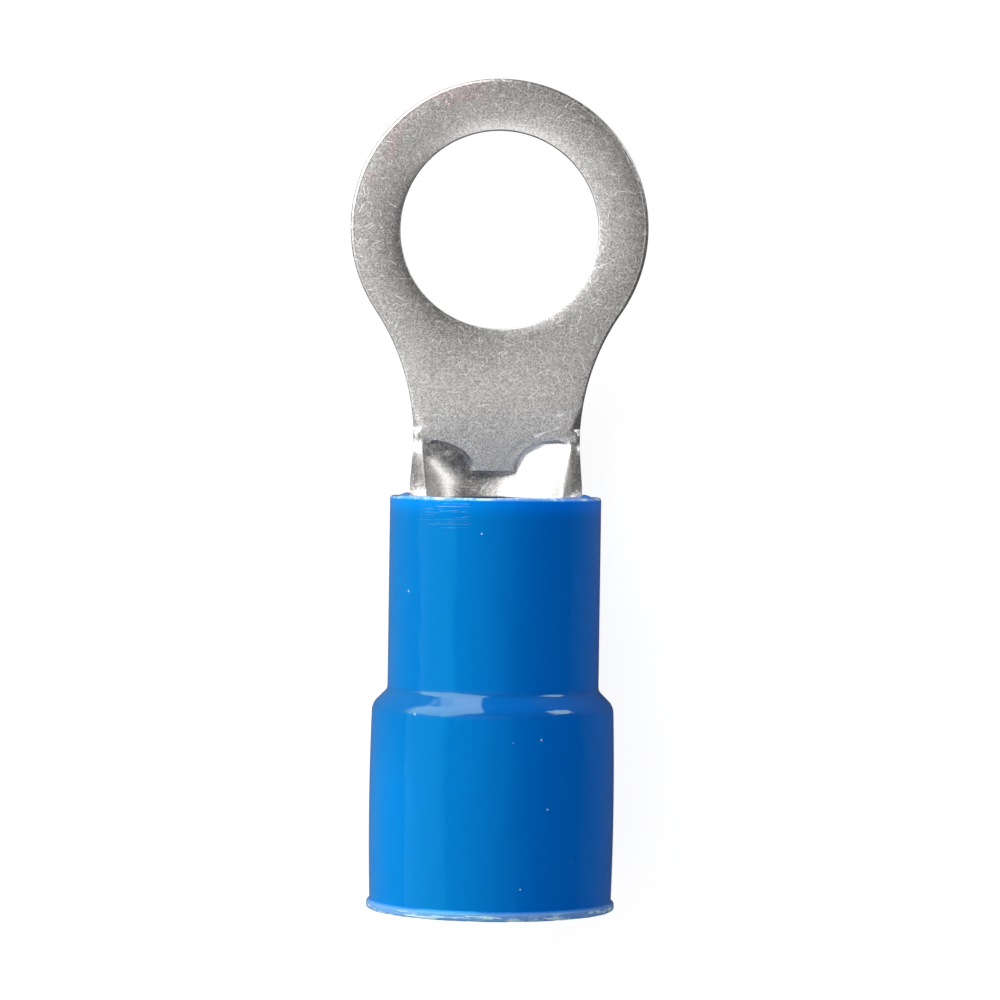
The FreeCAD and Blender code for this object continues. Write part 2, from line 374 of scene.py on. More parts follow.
def into_hollow(x, y):
    """Distance past the tongue's edge, on its flanks or beyond its tip."""
    ax = np.abs(x)
    middle, reach_x, reach_y = arch_sizes(x)
    u = np.clip((middle - ax) / reach_x, 0, 2)
    v = np.clip((y - TONGUE_END_Y) / reach_y, 0, 2)
    e = np.maximum(np.hypot(u, v), 1e-6)
    grad = np.hypot(u / reach_x, v / reach_y) / e
    flank = np.where(e < 1, (1 - e) / np.maximum(grad, 1e-6), 0)
    past = np.maximum(TONGUE_END_Y - y, 0)
    sideways = np.maximum(ax - (middle - reach_x), 0)
    return np.where(y > TONGUE_END_Y, flank, np.hypot(sideways, 1.8 * past))


print("mm into the right arch at x 2:", [round(float(into_hollow(2.0, y)), 2) for y in (-8.9, -9.4, -10)])

# %% Height of the tongue, with a narrow coined ledge round the arches
LEDGE_DEPTH = 0.02
TONGUE_ROUND = 0.04
FALL_MOST = 0.8


def coined_ledge(x, y):
    """Nearly 1 on the ledge pressed round the two arches, 0 elsewhere."""
    middle, reach_x, reach_y = arch_sizes(x)
    u = np.clip((middle - np.abs(x)) / (reach_x + 0.45), 0, 2)
    v = np.clip((y - TONGUE_END_Y) / (reach_y + 0.42), 0, 2)
    return 0.7 * smooth((1 - np.hypot(u, v)) / 0.07) * smooth((y - ARCH_Y + 0.75) / 0.5)


def tongue_end(x, y):
    """Height of the flat tongue's end, falling away on each flank and at its tip."""
    # a larger y near the cheeks rounds the outer corners of the arches
    y = y + 0.36 * (np.maximum(np.abs(x) - 2.55, 0) / 0.5) ** 2
    fall = (np.sqrt(into_hollow(x, y) ** 2 + TONGUE_ROUND ** 2) - TONGUE_ROUND) / np.where(x > 0, 0.16, 0.14)
    fall = FALL_MOST * (1 - np.exp(-fall / FALL_MOST))
    return TOP - LEDGE_DEPTH * coined_ledge(x, y) - np.where(y > ARCH_Y + 0.06, 0, fall)


print("tongue's height at its middle and 0.3 mm past its tip:",
      [round(float(tongue_end(0.0, y)), 2) for y in (-9.5, TONGUE_END_Y - 0.3)])

# %% [markdown]
# ## The pockets' floor
# Beside the tongue lies a shallow dish that runs on into the round gutter of the barrel. Two surfaces are
# made for it, the dish and the gutter, and blended along the part. A single curve per row could also be
# drawn by hand, but with some hundred rows the blend is less work and has no bumps. The left pocket is a
# bit flatter than the right one, as in the photo, and the floor lifts slightly where it meets the sleeve.

# %% Columns of points from the middle to the cheek
FLOOR_N = 60
WALL_N = 12
INSIDE_N = FLOOR_N + 1 + WALL_N
wall_steps = np.arange(1, WALL_N + 1) / WALL_N
inside_steps = np.concatenate([
    np.linspace(0, 0.8, FLOOR_N + 1),
    np.sin(mix(math.asin(0.8), math.pi / 2, wall_steps)),
])
print(INSIDE_N, "points from the middle to the cheek, the last two at",
      [round(float(step), 3) for step in inside_steps[-2:]])

# %% Sizes of the hollows
HOLLOW_Y = -8.8
HOLLOW_END_Y = -11.3
HOLLOW_HALF = 3.04
HOLLOW_DEPTH = 0.5
POCKET_END_LEFT = 2.74
POCKET_END_RIGHT = 2.58
DISH_RISE = 0.9
MOUTH_LIFT = 0.42


def hollow_started(y):
    """0 ahead of the hollow, 1 where it has its full depth."""
    return float(smooth((HOLLOW_Y + 0.05 - y) / 0.28))


print("share of the hollow's depth at y -8.75, -8.9 and -9.1:",
      [round(hollow_started(y), 2) for y in (-8.75, -8.9, -9.1)])

# %% Dish and gutter
def pocket(y, side, lid):
    """Half a row of a pocket's floor, which ends at the height lid of the cut edge."""
    u = inside_steps
    along = min(1.0, max(0.0, (HOLLOW_Y - y) / (HOLLOW_Y - HOLLOW_END_Y)))
    half = mix(HOLLOW_HALF, POCKET_END_RIGHT if side > 0 else POCKET_END_LEFT, along ** 1.5)
    rise = mix(HOLLOW_DEPTH, DISH_RISE, float(smooth((ARCH_Y - 0.1 - y) / 0.6)))
    dish = TOP - HOLLOW_DEPTH * hollow_started(y) + rise * hollow_started(y) * u ** 1.5
    mouth = max(0.0, TONGUE_END_Y + 0.4 - y) / 1.4
    power = 2.0 if side > 0 else 2.5
    gutter = AXIS_Z - BORE_R * np.maximum(1 - u ** power, 0) ** (1 / power)
    gutter = gutter + MOUTH_LIFT * mouth ** 2 * (1 - u ** 4)
    z = mix(dish, gutter, float(smooth((ARCH_Y - 0.15 - y) / 2.1)))
    z = z + (lid - z[-1]) * u ** 7
    return u * (half + 0.05), np.where(u < 1, np.minimum(z, lid), z)


print("deepest point of the right pocket at y -9.5:", round(float(pocket(-9.5, 1, 0.9)[1].min()), 2))

# %% [markdown]
# ## The cut edge
# The top of a cheek is the sheet's own cut edge, 0.9 mm thick with its outer corner worn to a slope. It
# catches the light as a bright line in the photo. It could be a bevel on a finished wall, but it changes
# along the cheek, so it gets its own columns of points: a few across the cut edge, a few down the slope.

# %% Cut edge and outer slope
LID_N = 4
SLOPE_N = 7
LID_TILT = 0.07
lid_steps = np.arange(1, LID_N + 1) / LID_N
slope_steps = np.arange(1, SLOPE_N + 1) / SLOPE_N


def cut_edge(y, start_x):
    """The cut edge from the pocket outwards, then the slope down to the cheek's rim."""
    width = float(half_width(y))
    rim, slope, lid = (float(v) for v in cheek(y))
    tilt = LID_TILT * (1 - lid_steps * 2) * float(smooth((WAIST_Y + 0.2 - y) / 0.8))
    lid_x = np.linspace(start_x, width - slope, LID_N + 1)[1:]
    lid_z = lid + tilt
    slope_x = width - slope + slope * slope_steps
    slope_z = lid_z[-1] - (lid_z[-1] - rim) * slope_steps ** 1.25
    return np.concatenate([lid_x, slope_x]), np.concatenate([lid_z, slope_z])


print("cut edge at y -10.5 ends at", [round(float(v[-1]), 2) for v in cut_edge(-10.5, 2.9)])

# %% [markdown]
# ## Rows of the inner skin
# A row is a cut across the strip: floor, wall, cut edge and slope. Ahead of the hollows it has to be the
# flat neck, and inside the sleeve the round bore. All three kinds of row have the same number of points, so
# they can be blended point by point, and the sheet really seems to roll up. A separate mesh for each would
# need seams.

# %% The flat neck and the closed bore as rows of the same length
def flat_row(y):
    """Half a row of the flat neck, out to its rounded edge."""
    width = float(half_width(y))
    x = np.concatenate([
        np.linspace(0, 0.68 * width, FLOOR_N + 1),
        mix(0.68 * width, 0.818 * width, wall_steps),
        np.linspace(0.818 * width, width - EDGE_R, LID_N + 1)[1:],
        width - EDGE_R + EDGE_R * np.sin(slope_steps * math.pi / 2),
    ])
    return x, flat_height(x, np.full(len(x), y))


def bore_row(y):
    """Half a row of the barrel's bore, with the cut edge standing in the seam."""
    phi = opening_angle(y)
    floor_x = np.linspace(0, 0.8 * BORE_R, FLOOR_N + 1)
    a = mix(math.asin(0.8), phi, wall_steps)
    r = mix(BORE_R, BARREL_R, np.arange(1, LID_N + SLOPE_N + 1) / (LID_N + SLOPE_N))
    x = np.concatenate([floor_x, BORE_R * np.sin(a), r * math.sin(phi)])
    floor_z = AXIS_Z - np.sqrt(BORE_R ** 2 - floor_x ** 2)
    z = np.concatenate([floor_z, AXIS_Z - BORE_R * np.cos(a), AXIS_Z - r * math.cos(phi)])
    return x, z


print("points in both rows:", len(flat_row(-8.0)[0]), len(bore_row(-13.0)[0]))

# %% Half a row of the inner skin
MEETING_ROUND = 0.05


def inner_row(y, side):
    """x and z from the middle out, on one side (1 right, -1 left)."""
    floor_x, floor_z = pocket(y, side, float(cheek(y)[2]))
    tongue = tongue_end(side * floor_x, np.full(INSIDE_N, y))
    if y > ARCH_Y + 0.06:
        floor_z = np.maximum(floor_z, tongue)
    else:
        # the higher of the two surfaces, with a small rounding where they meet
        gap = floor_z - tongue
        floor_z = (floor_z + tongue + np.sqrt(gap ** 2 + (MEETING_ROUND * hollow_started(y)) ** 2)) / 2
    edge_x, edge_z = cut_edge(y, floor_x[-1])
    x, z = np.concatenate([floor_x, edge_x]), np.concatenate([floor_z, edge_z])
    if y > HOLLOW_Y - 0.05:
        flat_x, flat_z = flat_row(y)
        share = float(smooth((HOLLOW_Y + 0.35 - y) / 0.4))
        x, z = mix(flat_x, x, share), mix(flat_z, z, share)
    if y < FRONT_Y:
        bore_x, bore_z = bore_row(y)
        share = float(smooth((FRONT_Y - y) / 0.5))
        x, z = mix(x, bore_x, share), mix(z, bore_z, share)
    return x, z


print("lowest point of the inner skin at y -8, -9.5 and -15:",
      [round(float(inner_row(y, 1)[1].min()), 2) for y in (-8, -9.5, -15)])

# %% [markdown]
# ## Rows of the outer skin
# The side away from the camera: flat under the neck, then a trough with rounded corners, then the outside
# of the tube. It could be the inner skin moved outwards by the sheet's thickness (a Solidify modifier does
# that), but then the pressed hollows would show through on this side, which is taken to be plain. So it has
# rows of its own, blended like the inner ones, and each row ends on the last point of the inner row.

# %% Flat underside and barrel outside
def underside_row(y, border_z):
    """Half a row of the flat underside, round its lower corner and up to the border with the upper face."""
    width = float(half_width(y))
    turn = np.arange(1, 5) / 4 * math.pi / 2
    lift = np.linspace(BOTTOM + BURR_R, border_z, WALL_N - 3)[1:]
    x = np.concatenate([
        np.linspace(0, width - BURR_R, FLOOR_N + 1),
        width - BURR_R + BURR_R * np.sin(turn), np.full(len(lift), width),
    ])
    z = np.concatenate([np.full(FLOOR_N + 1, BOTTOM), BOTTOM + BURR_R * (1 - np.cos(turn)), lift])
    return x, z


def barrel_row(y):
    """Half a row of the barrel's outside, up to the seam."""
    floor_x = np.linspace(0, 0.85 * BARREL_R, FLOOR_N + 1)
    a = mix(math.asin(0.85), opening_angle(y), wall_steps)
    x = np.concatenate([floor_x, BARREL_R * np.sin(a)])
    z = np.concatenate([AXIS_Z - np.sqrt(BARREL_R ** 2 - floor_x ** 2), AXIS_Z - BARREL_R * np.cos(a)])
    return x, z


print("points in both rows:", len(underside_row(-8.0, 0.3)[0]), len(barrel_row(-13.0)[0]))

# %% Half a row of the outer skin
def outer_row(y, border_z):
    """x and z from the middle out and up to the border with the inner skin."""
    width = float(half_width(y))
    rim = float(cheek(y)[0])
    t = min(1.0, max(0.0, (WAIST_Y - y) / (WAIST_Y - FRONT_Y)))
    floor = mix(BOTTOM, AXIS_Z - BARREL_R, float(smooth((t - 0.3) / 0.7)))
    power = mix(9.0, 2.0, float(smooth(t ** 0.6)))
    a = mix(math.asin(0.85 ** (power / 2)), math.pi / 2, wall_steps)
    floor_x = np.linspace(0, 0.85 * width, FLOOR_N + 1)
    x = np.concatenate([floor_x, width * np.sin(a) ** (2 / power)])
    z = np.concatenate([
        rim - (rim - floor) * (1 - (floor_x / width) ** power) ** (1 / power),
        rim - (rim - floor) * np.maximum(np.cos(a), 0) ** (2 / power),
    ])
    if y > WAIST_Y - 0.5:
        flat_x, flat_z = underside_row(y, border_z)
        share = float(smooth((WAIST_Y - y) / 0.5))
        x, z = mix(flat_x, x, share), mix(flat_z, z, share)
    if y < FRONT_Y:
        round_x, round_z = barrel_row(y)
        share = float(smooth((FRONT_Y - y) / 0.5))
        x, z = mix(x, round_x, share), mix(z, round_z, share)
    return x, z


print("lowest point of the outer skin at y -8, -10 and -15:",
      [round(float(outer_row(y, 0.3)[1].min()), 2) for y in (-8, -10, -15)])

# %% [markdown]
# ## The strip: neck, cheeks and barrel
# The rows are now stacked along the part. They stand 0.035 mm apart at the hollows, where the shape changes
# quickly, and much further apart in the plain tube. Even spacing would be simpler, but would need almost
# three times as many rows. The left half of each row is mirrored, because halves are worked out from the
# middle.

# %% Whole rows along the part
STRIP_Y = -7.0
END_ROUND = 0.12
rows_y = np.concatenate([
    np.arange(STRIP_Y, -8.2, -0.1),
    np.arange(-8.2, -11.3, -0.035),
    np.arange(-11.3, -11.8, -0.08),
    np.arange(-11.8, -13.0, -0.1),
    np.linspace(-13.0, REAR_Y + END_ROUND, 12),
])


def both_sides(left, right, y):
    """A full row of points from its two halves: the left one is mirrored."""
    full_x = np.concatenate([-left[0][:0:-1], right[0]])
    full_z = np.concatenate([left[1][:0:-1], right[1]])
    return np.stack([full_x, np.full(len(full_x), y), full_z], axis=-1)


inner_rows = []
outer_rows = []
for y in rows_y:
    right = inner_row(y, 1)
    outside = outer_row(y, right[1][-1])
    inner_rows.append(both_sides(inner_row(y, -1), right, y))
    outer_rows.append(both_sides(outside, outside, y))
print(len(rows_y), "rows of", len(inner_rows[0]), "inner and", len(outer_rows[0]), "outer points")

# %% [markdown]
# ## The barrel's rear end
# A cut tube has slightly rounded rims, and through the sleeve's rear opening one looks straight at this
# one. Four more rows draw the inner and the outer skin towards each other along a quarter circle. A bevel
# on the finished mesh would also touch the seam; rows that shrink or grow round the tube's axis leave it
# alone.

# %% Round off the rear rim
def resized(points, y, change):
    """A row moved to y, each point's distance from the barrel's axis changed by change(distance)."""
    out = points.copy()
    radius = np.hypot(out[:, 0], out[:, 2] - AXIS_Z)
    target = radius + change(radius)
    out[:, 0] *= target / radius
    out[:, 2] = AXIS_Z + (out[:, 2] - AXIS_Z) * target / radius
    out[:, 1] = y
    return out


last_inner = inner_rows[-1]
last_outer = outer_rows[-1]
for turn in np.linspace(0, math.pi / 2, 5)[1:]:
    shift = END_ROUND * (1 - math.cos(turn))
    y = REAR_Y + END_ROUND * (1 - math.sin(turn))
    inner_rows.append(resized(last_inner, y, lambda r: shift * (1 - 2 * (r - BORE_R) / SHEET)))
    outer_rows.append(resized(last_outer, y, lambda r: -shift))
print("the rear face lies at y", round(float(inner_rows[-1][0, 1]), 3))

# %% Skin over the rows and close the rear face
inner_index = metal.grid(np.array(inner_rows))
outer_index = metal.grid(np.array(outer_rows))
edge_cut = LID_N + SLOPE_N
metal.bridge(inner_index[-1][edge_cut:-edge_cut], outer_index[-1])
metal.faces.append(inner_index[-1][:edge_cut + 1].tolist())
metal.faces.append(inner_index[-1][-edge_cut - 1:].tolist())
print("faces of the strip:", len(metal.faces))

# %% [markdown]
# ## The ring
# Round the stud hole the points lie on spokes from the hole to the outline. A disc with a Boolean hole
# would be quicker, but spokes follow both rounded edges exactly. The points of a spoke are close together
# only near the two edges, where the surface bends. The outline's distance is found by halving an interval
# forty times, which works for the circle and for the neck's arcs alike.

# %% Outline seen from the hole
def outline_reach(angle):
    """Distance from the hole's centre to the outline along a direction (0 points to the strip)."""
    far = 12.0
    near = HOLE_R
    for _ in range(40):
        middle = (far + near) / 2
        inside = edge_distance(middle * math.sin(angle), -middle * math.cos(angle)) > 0
        near, far = (middle, far) if inside else (near, middle)
    return near


print("outline at 60, 90 and 180 degrees:", [round(outline_reach(math.radians(a)), 3) for a in (60, 90, 180)])

# %% Points along one spoke
hole_turn = np.linspace(0, math.pi / 2, 6)
edge_turn = np.linspace(0, math.pi / 2, 8)


def radii(reach, stretch, inner_round, outer_round, steps):
    """Distances of the points on a spoke, closer together at both rounded edges."""
    start = HOLE_R + inner_round * (1 - np.cos(hole_turn))
    end = reach - outer_round * stretch * (1 - np.sin(edge_turn))
    close = end[0] - 0.14 * stretch * np.linspace(1, 0, 8)[:-1]
    return np.concatenate([start, np.linspace(start[-1], close[0], steps + 2)[1:-1], close, end])


print("a spoke has", len(radii(RING_R, 1.0, HOLE_EDGE, EDGE_R, 26)), "points")

# %% Upper and lower face along a spoke
WALL_FOOT = -0.2
WALL_STEPS = 5


def top_points(angle, reach, stretch):
    """Up the hole's wall and over the upper face."""
    r = radii(reach, stretch, HOLE_EDGE, EDGE_R, 26)
    x = r * math.sin(angle)
    y = -r * math.cos(angle)
    z = flat_height(x, y)
    wall = np.linspace(WALL_FOOT, z[0], WALL_STEPS + 1)[:-1]
    points = (np.concatenate([np.full(WALL_STEPS, x[0]), x]),
              np.concatenate([np.full(WALL_STEPS, y[0]), y]), np.concatenate([wall, z]))
    return np.stack(points, axis=-1)


def bottom_points(angle, reach, stretch):
    """Along the lower face, with the burr side's small rounding."""
    r = radii(reach, stretch, BURR_R, BURR_R, 8)
    x = r * math.sin(angle)
    y = -r * math.cos(angle)
    z = BOTTOM + quarter(edge_distance(x, y), BURR_R) + quarter(np.hypot(x, y) - HOLE_R, BURR_R)
    return np.stack([x, y, z], axis=-1)


print("upper spoke from", np.round(top_points(math.pi, RING_R, 1.0)[0], 2).tolist())

# %% [markdown]
# ## Joining the ring to the strip
# Most spokes go round the free part of the ring: up the hole's wall, over the face, down the outer edge and
# back underneath. The others end on the strip's first row of points, one spoke for each point, so that ring
# and strip share that border and become one skin. The alternative is two meshes that only touch, and a thin
# dark line between them in every render.

# %% Spokes round the free part of the ring
strip_inner = inner_rows[0]
strip_outer = outer_rows[0]
corner_angle = math.atan2(strip_inner[-1, 0], -STRIP_Y)
corner_stretch = 1 / math.sin(corner_angle)
TINY = 1e-3


def spoke_sizes(angle):
    """Length of a spoke, and how much its edge is stretched where the outline crosses it at a slant."""
    if angle < corner_angle + 1e-9 or angle > 2 * math.pi - corner_angle - 1e-9:
        return math.hypot(strip_inner[-1, 0], STRIP_Y), corner_stretch
    reach = outline_reach(angle)
    slant = (outline_reach(angle + TINY) - outline_reach(angle - TINY)) / (2 * TINY) / reach
    return reach, min(math.hypot(1, slant), corner_stretch)


round_spokes = []
for angle in np.linspace(corner_angle, 2 * math.pi - corner_angle, 361):
    reach, stretch = spoke_sizes(angle)
    top = top_points(angle, reach, stretch)
    bottom = bottom_points(angle, reach, stretch)
    levels = np.linspace(BOTTOM + BURR_R, top[-1, 2], WALL_N - 3)[1:-1][::-1]
    edge_x = np.full(len(levels), top[-1, 0])
    edge_y = np.full(len(levels), top[-1, 1])
    wall = np.stack([edge_x, edge_y, levels], axis=-1)
    round_spokes.append(np.concatenate([top, wall, bottom[::-1]]))
metal.grid(np.array(round_spokes), closed=True)
print(len(round_spokes), "free spokes of", len(round_spokes[0]), "points")

# %% Spokes that end on the strip's first row
top_spokes = []
for end in strip_inner:
    angle = math.atan2(end[0], -STRIP_Y)
    top_spokes.append(top_points(angle, math.hypot(end[0], STRIP_Y), corner_stretch))
    top_spokes[-1][-1] = end
bottom_spokes = []
for end in strip_outer[strip_outer[:, 2] < BOTTOM + BURR_R + 1e-6]:
    angle = math.atan2(end[0], -STRIP_Y)
    bottom_spokes.append(bottom_points(angle, math.hypot(end[0], STRIP_Y), corner_stretch))
    bottom_spokes[-1][-1] = end
top_index = metal.grid(np.array(top_spokes))
bottom_index = metal.grid(np.array(bottom_spokes))
metal.bridge(top_index[:, 0], bottom_index[:, 0])
print(len(top_spokes), "upper and", len(bottom_spokes), "lower spokes reach the strip")

# %% Make the metal piece
metal_mesh = bpy.data.meshes.new("metal_terminal_skin")
metal_mesh.from_pydata((np.concatenate(metal.points) * MM).tolist(), [], metal.faces)
terminal = finished_piece("metal_terminal_skin", metal_mesh, METAL_WELD)

# %% [markdown]
# ## The sleeve's profile
# The sleeve is a moulded tube: narrow over the barrel, a shoulder, a wide rear for the wire's insulation,
# and a thin lip where it was cut off. It is round, so half a section describes it. That profile is written
# as points (distance from the axis, place along the part), with most points in the bends. A drawn curve
# would give the same line, but plain points let the next step give each of them one column of the mesh.

# %% Sizes of the sleeve
SLEEVE_REAR_Y = -28.4
FRONT_R = BARREL_R + 0.8
WIDE_BORE = 4.3
REAR_R = WIDE_BORE + 0.74
LIP_R = REAR_R + 0.13
SHOULDER_Y = -19.13
RIM_ROUND = 0.15
HOLLOW_BEND = 0.35
ROUND_BEND = 0.7
SWELL = 0.06
LIP_LENGTH = 0.42
print("sleeve of radius", FRONT_R, "in front,", round(REAR_R, 2), "behind and", round(LIP_R, 2), "at the lip")

# %% Front rim and shoulder
def rim_points():
    """From the barrel out over the front rim."""
    points = [(BARREL_R, FRONT_Y - 0.08), (BARREL_R + 0.03, FRONT_Y - 0.02), (BARREL_R + 0.1, FRONT_Y)]
    points += [(r, FRONT_Y) for r in np.linspace(BARREL_R + 0.2, FRONT_R - 0.17, 5)]
    points += [(FRONT_R - RIM_ROUND * (1 - math.sin(a)), FRONT_Y - RIM_ROUND * (1 - math.cos(a)))
               for a in np.linspace(0, math.pi / 2, 8)]
    return points


def shoulder_points():
    """The narrow part, then the shoulder: a hollow bend, a slope at 45 degrees and a round bend."""
    slope = math.radians(45)
    points = [(FRONT_R, y) for y in np.linspace(FRONT_Y - 0.3, SHOULDER_Y, 40)]
    r, y = points[-1]
    turns = [slope * k / 10 for k in range(1, 11)]
    points += [(r + HOLLOW_BEND * (1 - math.cos(a)), y - HOLLOW_BEND * math.sin(a)) for a in turns]
    step = REAR_R - ROUND_BEND * (1 - math.cos(slope)) - points[-1][0]
    points += [(points[-1][0] + step, points[-1][1] - step)]
    bend_y = points[-1][1] - ROUND_BEND * math.sin(slope)
    points += [(REAR_R - ROUND_BEND + ROUND_BEND * math.cos(a), bend_y + ROUND_BEND * math.sin(a))
               for a in np.linspace(slope, 0, 11)[1:]]
    return points


print("rim and shoulder:", len(rim_points()), "and", len(shoulder_points()), "points")

# %% Wide part, lip and inside
def wide_points(start_y):
    """The wide part, a little swollen in its middle, and the lip."""
    lip_start = SLEEVE_REAR_Y + LIP_LENGTH
    points = [(REAR_R + SWELL * 4 * t * (1 - t), mix(start_y, lip_start, t))
              for t in np.linspace(0, 1, 40)[1:]]
    points += [(REAR_R + 0.04, lip_start - 0.05), (LIP_R - 0.03, SLEEVE_REAR_Y + 0.31),
               (LIP_R - 0.005, SLEEVE_REAR_Y + 0.26)]
    points += [(LIP_R - 0.005, y) for y in np.linspace(SLEEVE_REAR_Y + 0.22, SLEEVE_REAR_Y + 0.14, 3)]
    points += [(LIP_R - 0.1 * (1 - math.cos(a)), SLEEVE_REAR_Y + 0.1 * (1 - math.sin(a)))
               for a in np.linspace(0.1, math.pi / 2, 6)]
    return points


def inside_points():
    """The rear face, the wide bore, the funnel and the bore round the barrel."""
    points = [(r, SLEEVE_REAR_Y) for r in np.linspace(LIP_R - 0.15, WIDE_BORE + 0.16, 10)]
    points += [(WIDE_BORE + RIM_ROUND * (1 - math.sin(a)), SLEEVE_REAR_Y + RIM_ROUND * (1 - math.cos(a)))
               for a in np.linspace(0, math.pi / 2, 6)]
    points += [(WIDE_BORE, y) for y in np.linspace(SLEEVE_REAR_Y + 0.5, REAR_Y - 0.9, 16)]
    points += [(mix(WIDE_BORE, BARREL_R, t), mix(REAR_Y - 0.9, REAR_Y, t)) for t in (0.33, 0.67, 1.0)]
    points += [(BARREL_R, y) for y in np.linspace(REAR_Y + 0.4, FRONT_Y - 0.3, 14)]
    return points


print("wide part and inside:", len(wide_points(-20.0)), "and", len(inside_points()), "points")

# %% The whole profile as a loose mesh
front_half = rim_points() + shoulder_points()
profile = front_half + wide_points(front_half[-1][1]) + inside_points()
profile.append(profile[0])
profile_mesh = bpy.data.meshes.new("sleeve_profile")
profile_mesh.from_pydata([(r * MM, y * MM, 0) for r, y in profile], [], [])
profile_object = bpy.data.objects.new("sleeve_profile", profile_mesh)
bpy.context.scene.collection.objects.link(profile_object)
print("profile points", len(profile))

# %% [markdown]
# ## A node tree that turns a profile
# A part that repeats round an axis follows a rule, and Geometry Nodes is made for rules. A Screw modifier
# would turn the profile too, but the real sleeve isn't perfectly round: its rims are wavy and a small
# collar of plastic stands up beside the metal. In nodes the turning and those small faults are one formula.
# First come the tree's named inputs, with which it can be used again for another sleeve.

# %% The tree and its inputs
tree = bpy.data.node_groups.new("turned_piece", "GeometryNodeTree")
tree.interface.new_socket("Geometry", in_out="OUTPUT", socket_type="NodeSocketGeometry")
sizes = ("Axis height", "Rim wave", "Rim place", "Lip wave", "Lip place", "Collar", "Collar radius")
named_inputs = [("Profile", "Object"), ("Points", "Int"), ("Around", "Int")]
named_inputs += [(name, "Float") for name in sizes]
named_inputs += [("Material", "Material")]
for name, kind in named_inputs:
    tree.interface.new_socket(name, in_out="INPUT", socket_type="NodeSocket" + kind)
given = tree.nodes.new("NodeGroupInput").outputs
result = tree.nodes.new("NodeGroupOutput")
print("inputs of the tree:", [item.name for item in tree.interface.items_tree if item.in_out == "INPUT"])

# %% Short names for the turning tree
def turning_node(kind, **links):
    """A node of the turning tree, with sockets linked to its named inputs."""
    made = tree.nodes.new(kind)
    for name, socket in links.items():
        tree.links.new(socket, made.inputs[name.replace("_", " ")])
    return made


def calculate(tree, kind, a, b=None):
    """One maths node in a tree; a and b are sockets or numbers."""
    made = tree.nodes.new("ShaderNodeMath")
    made.operation = kind
    for socket, value in zip(made.inputs, (a, b)):
        if hasattr(value, "links"):
            tree.links.new(value, socket)
        elif value is not None:
            socket.default_value = value
    return made.outputs[0]


def number(kind, a, b=None):
    """A calculation in the turning tree."""
    return calculate(tree, kind, a, b)


print("nodes so far, the named inputs and the result:", len(tree.nodes))

# %% [markdown]
# ## A grid wrapped round the axis
# The tree starts from a flat grid. Each of its columns stands for one point of the profile and each row for
# one direction round the axis. From a point's number the nodes work out its column and its row. The column
# looks up radius and place in the profile, the row gives the angle, and together they are a position on the
# sleeve.

# %% Column, angle and the profile's point
around_points = number("ADD", given["Around"], 1.0)
flat_grid = turning_node("GeometryNodeMeshGrid", Vertices_X=given["Points"], Vertices_Y=around_points)
point_number = tree.nodes.new("GeometryNodeInputIndex").outputs[0]
column = number("FLOOR", number("DIVIDE", number("ADD", point_number, 0.5), around_points))
row = number("SUBTRACT", point_number, number("MULTIPLY", column, around_points))
angle = number("MULTIPLY", number("DIVIDE", row, given["Around"]), 2 * math.pi)
info = turning_node("GeometryNodeObjectInfo", Object=given["Profile"])
sample = tree.nodes.new("GeometryNodeSampleIndex")
sample.data_type = "FLOAT_VECTOR"
sample.domain = "POINT"
tree.links.new(info.outputs["Geometry"], sample.inputs["Geometry"])
tree.links.new(tree.nodes.new("GeometryNodeInputPosition").outputs[0], sample.inputs["Value"])
tree.links.new(column, sample.inputs["Index"])
radius, along = turning_node("ShaderNodeSeparateXYZ", Vector=sample.outputs[0]).outputs[:2]
print("nodes so far:", len(tree.nodes))

# %% [markdown]
# ## Wavy rims
# Both rims of the real sleeve were cut a little unevenly. Noise can shift them, but noise along the angle
# would jump where the circle closes. So the noise is read on a circle, from the cosine and sine of the
# angle: its end is its beginning. `near_place` keeps the shift to the rims. Noise has a fixed pattern, so
# every run is alike.

# %% Waves that close round the sleeve
circle = tree.nodes.new("ShaderNodeCombineXYZ")
tree.links.new(number("COSINE", angle), circle.inputs[0])
tree.links.new(number("SINE", angle), circle.inputs[1])


def wobble(scale, detail):
    """Noise round the sleeve, between about -0.5 and 0.5."""
    waves = turning_node("ShaderNodeTexNoise", Vector=circle.outputs[0])
    waves.inputs["Scale"].default_value = scale
    waves.inputs["Detail"].default_value = detail
    return number("SUBTRACT", waves.outputs[0], 0.5)


def near_place(name, reach):
    """1 at a place along the sleeve, fading to 0 at a given distance from it."""
    gap = number("ABSOLUTE", number("SUBTRACT", along, given[name]))
    return number("MAXIMUM", number("SUBTRACT", 1.0, number("DIVIDE", gap, reach)), 0.0)


rim_shift = number("MULTIPLY", number("MULTIPLY", wobble(1.6, 1.0), given["Rim wave"]),
                   near_place("Rim place", 0.0012))
# the rim may only lie back, never stand forward of its size
rim_shift = number("SUBTRACT", rim_shift, number("ABSOLUTE", rim_shift))
lip_shift = number("MULTIPLY", number("ABSOLUTE", wobble(9.0, 3.0)),
                   number("MULTIPLY", given["Lip wave"], near_place("Lip place", 0.0004)))
print("nodes so far:", len(tree.nodes))

# %% [markdown]
# ## The collar beside the metal
# On both sides of the barrel the plastic stands a tenth of a millimetre forward, where it was pushed
# against the cheeks. It could be modelled as a small extra piece, but it is the same moulding. A high power
# of the sine picks out the two sides, and a short fall outwards from the barrel gives the bump its round
# top.

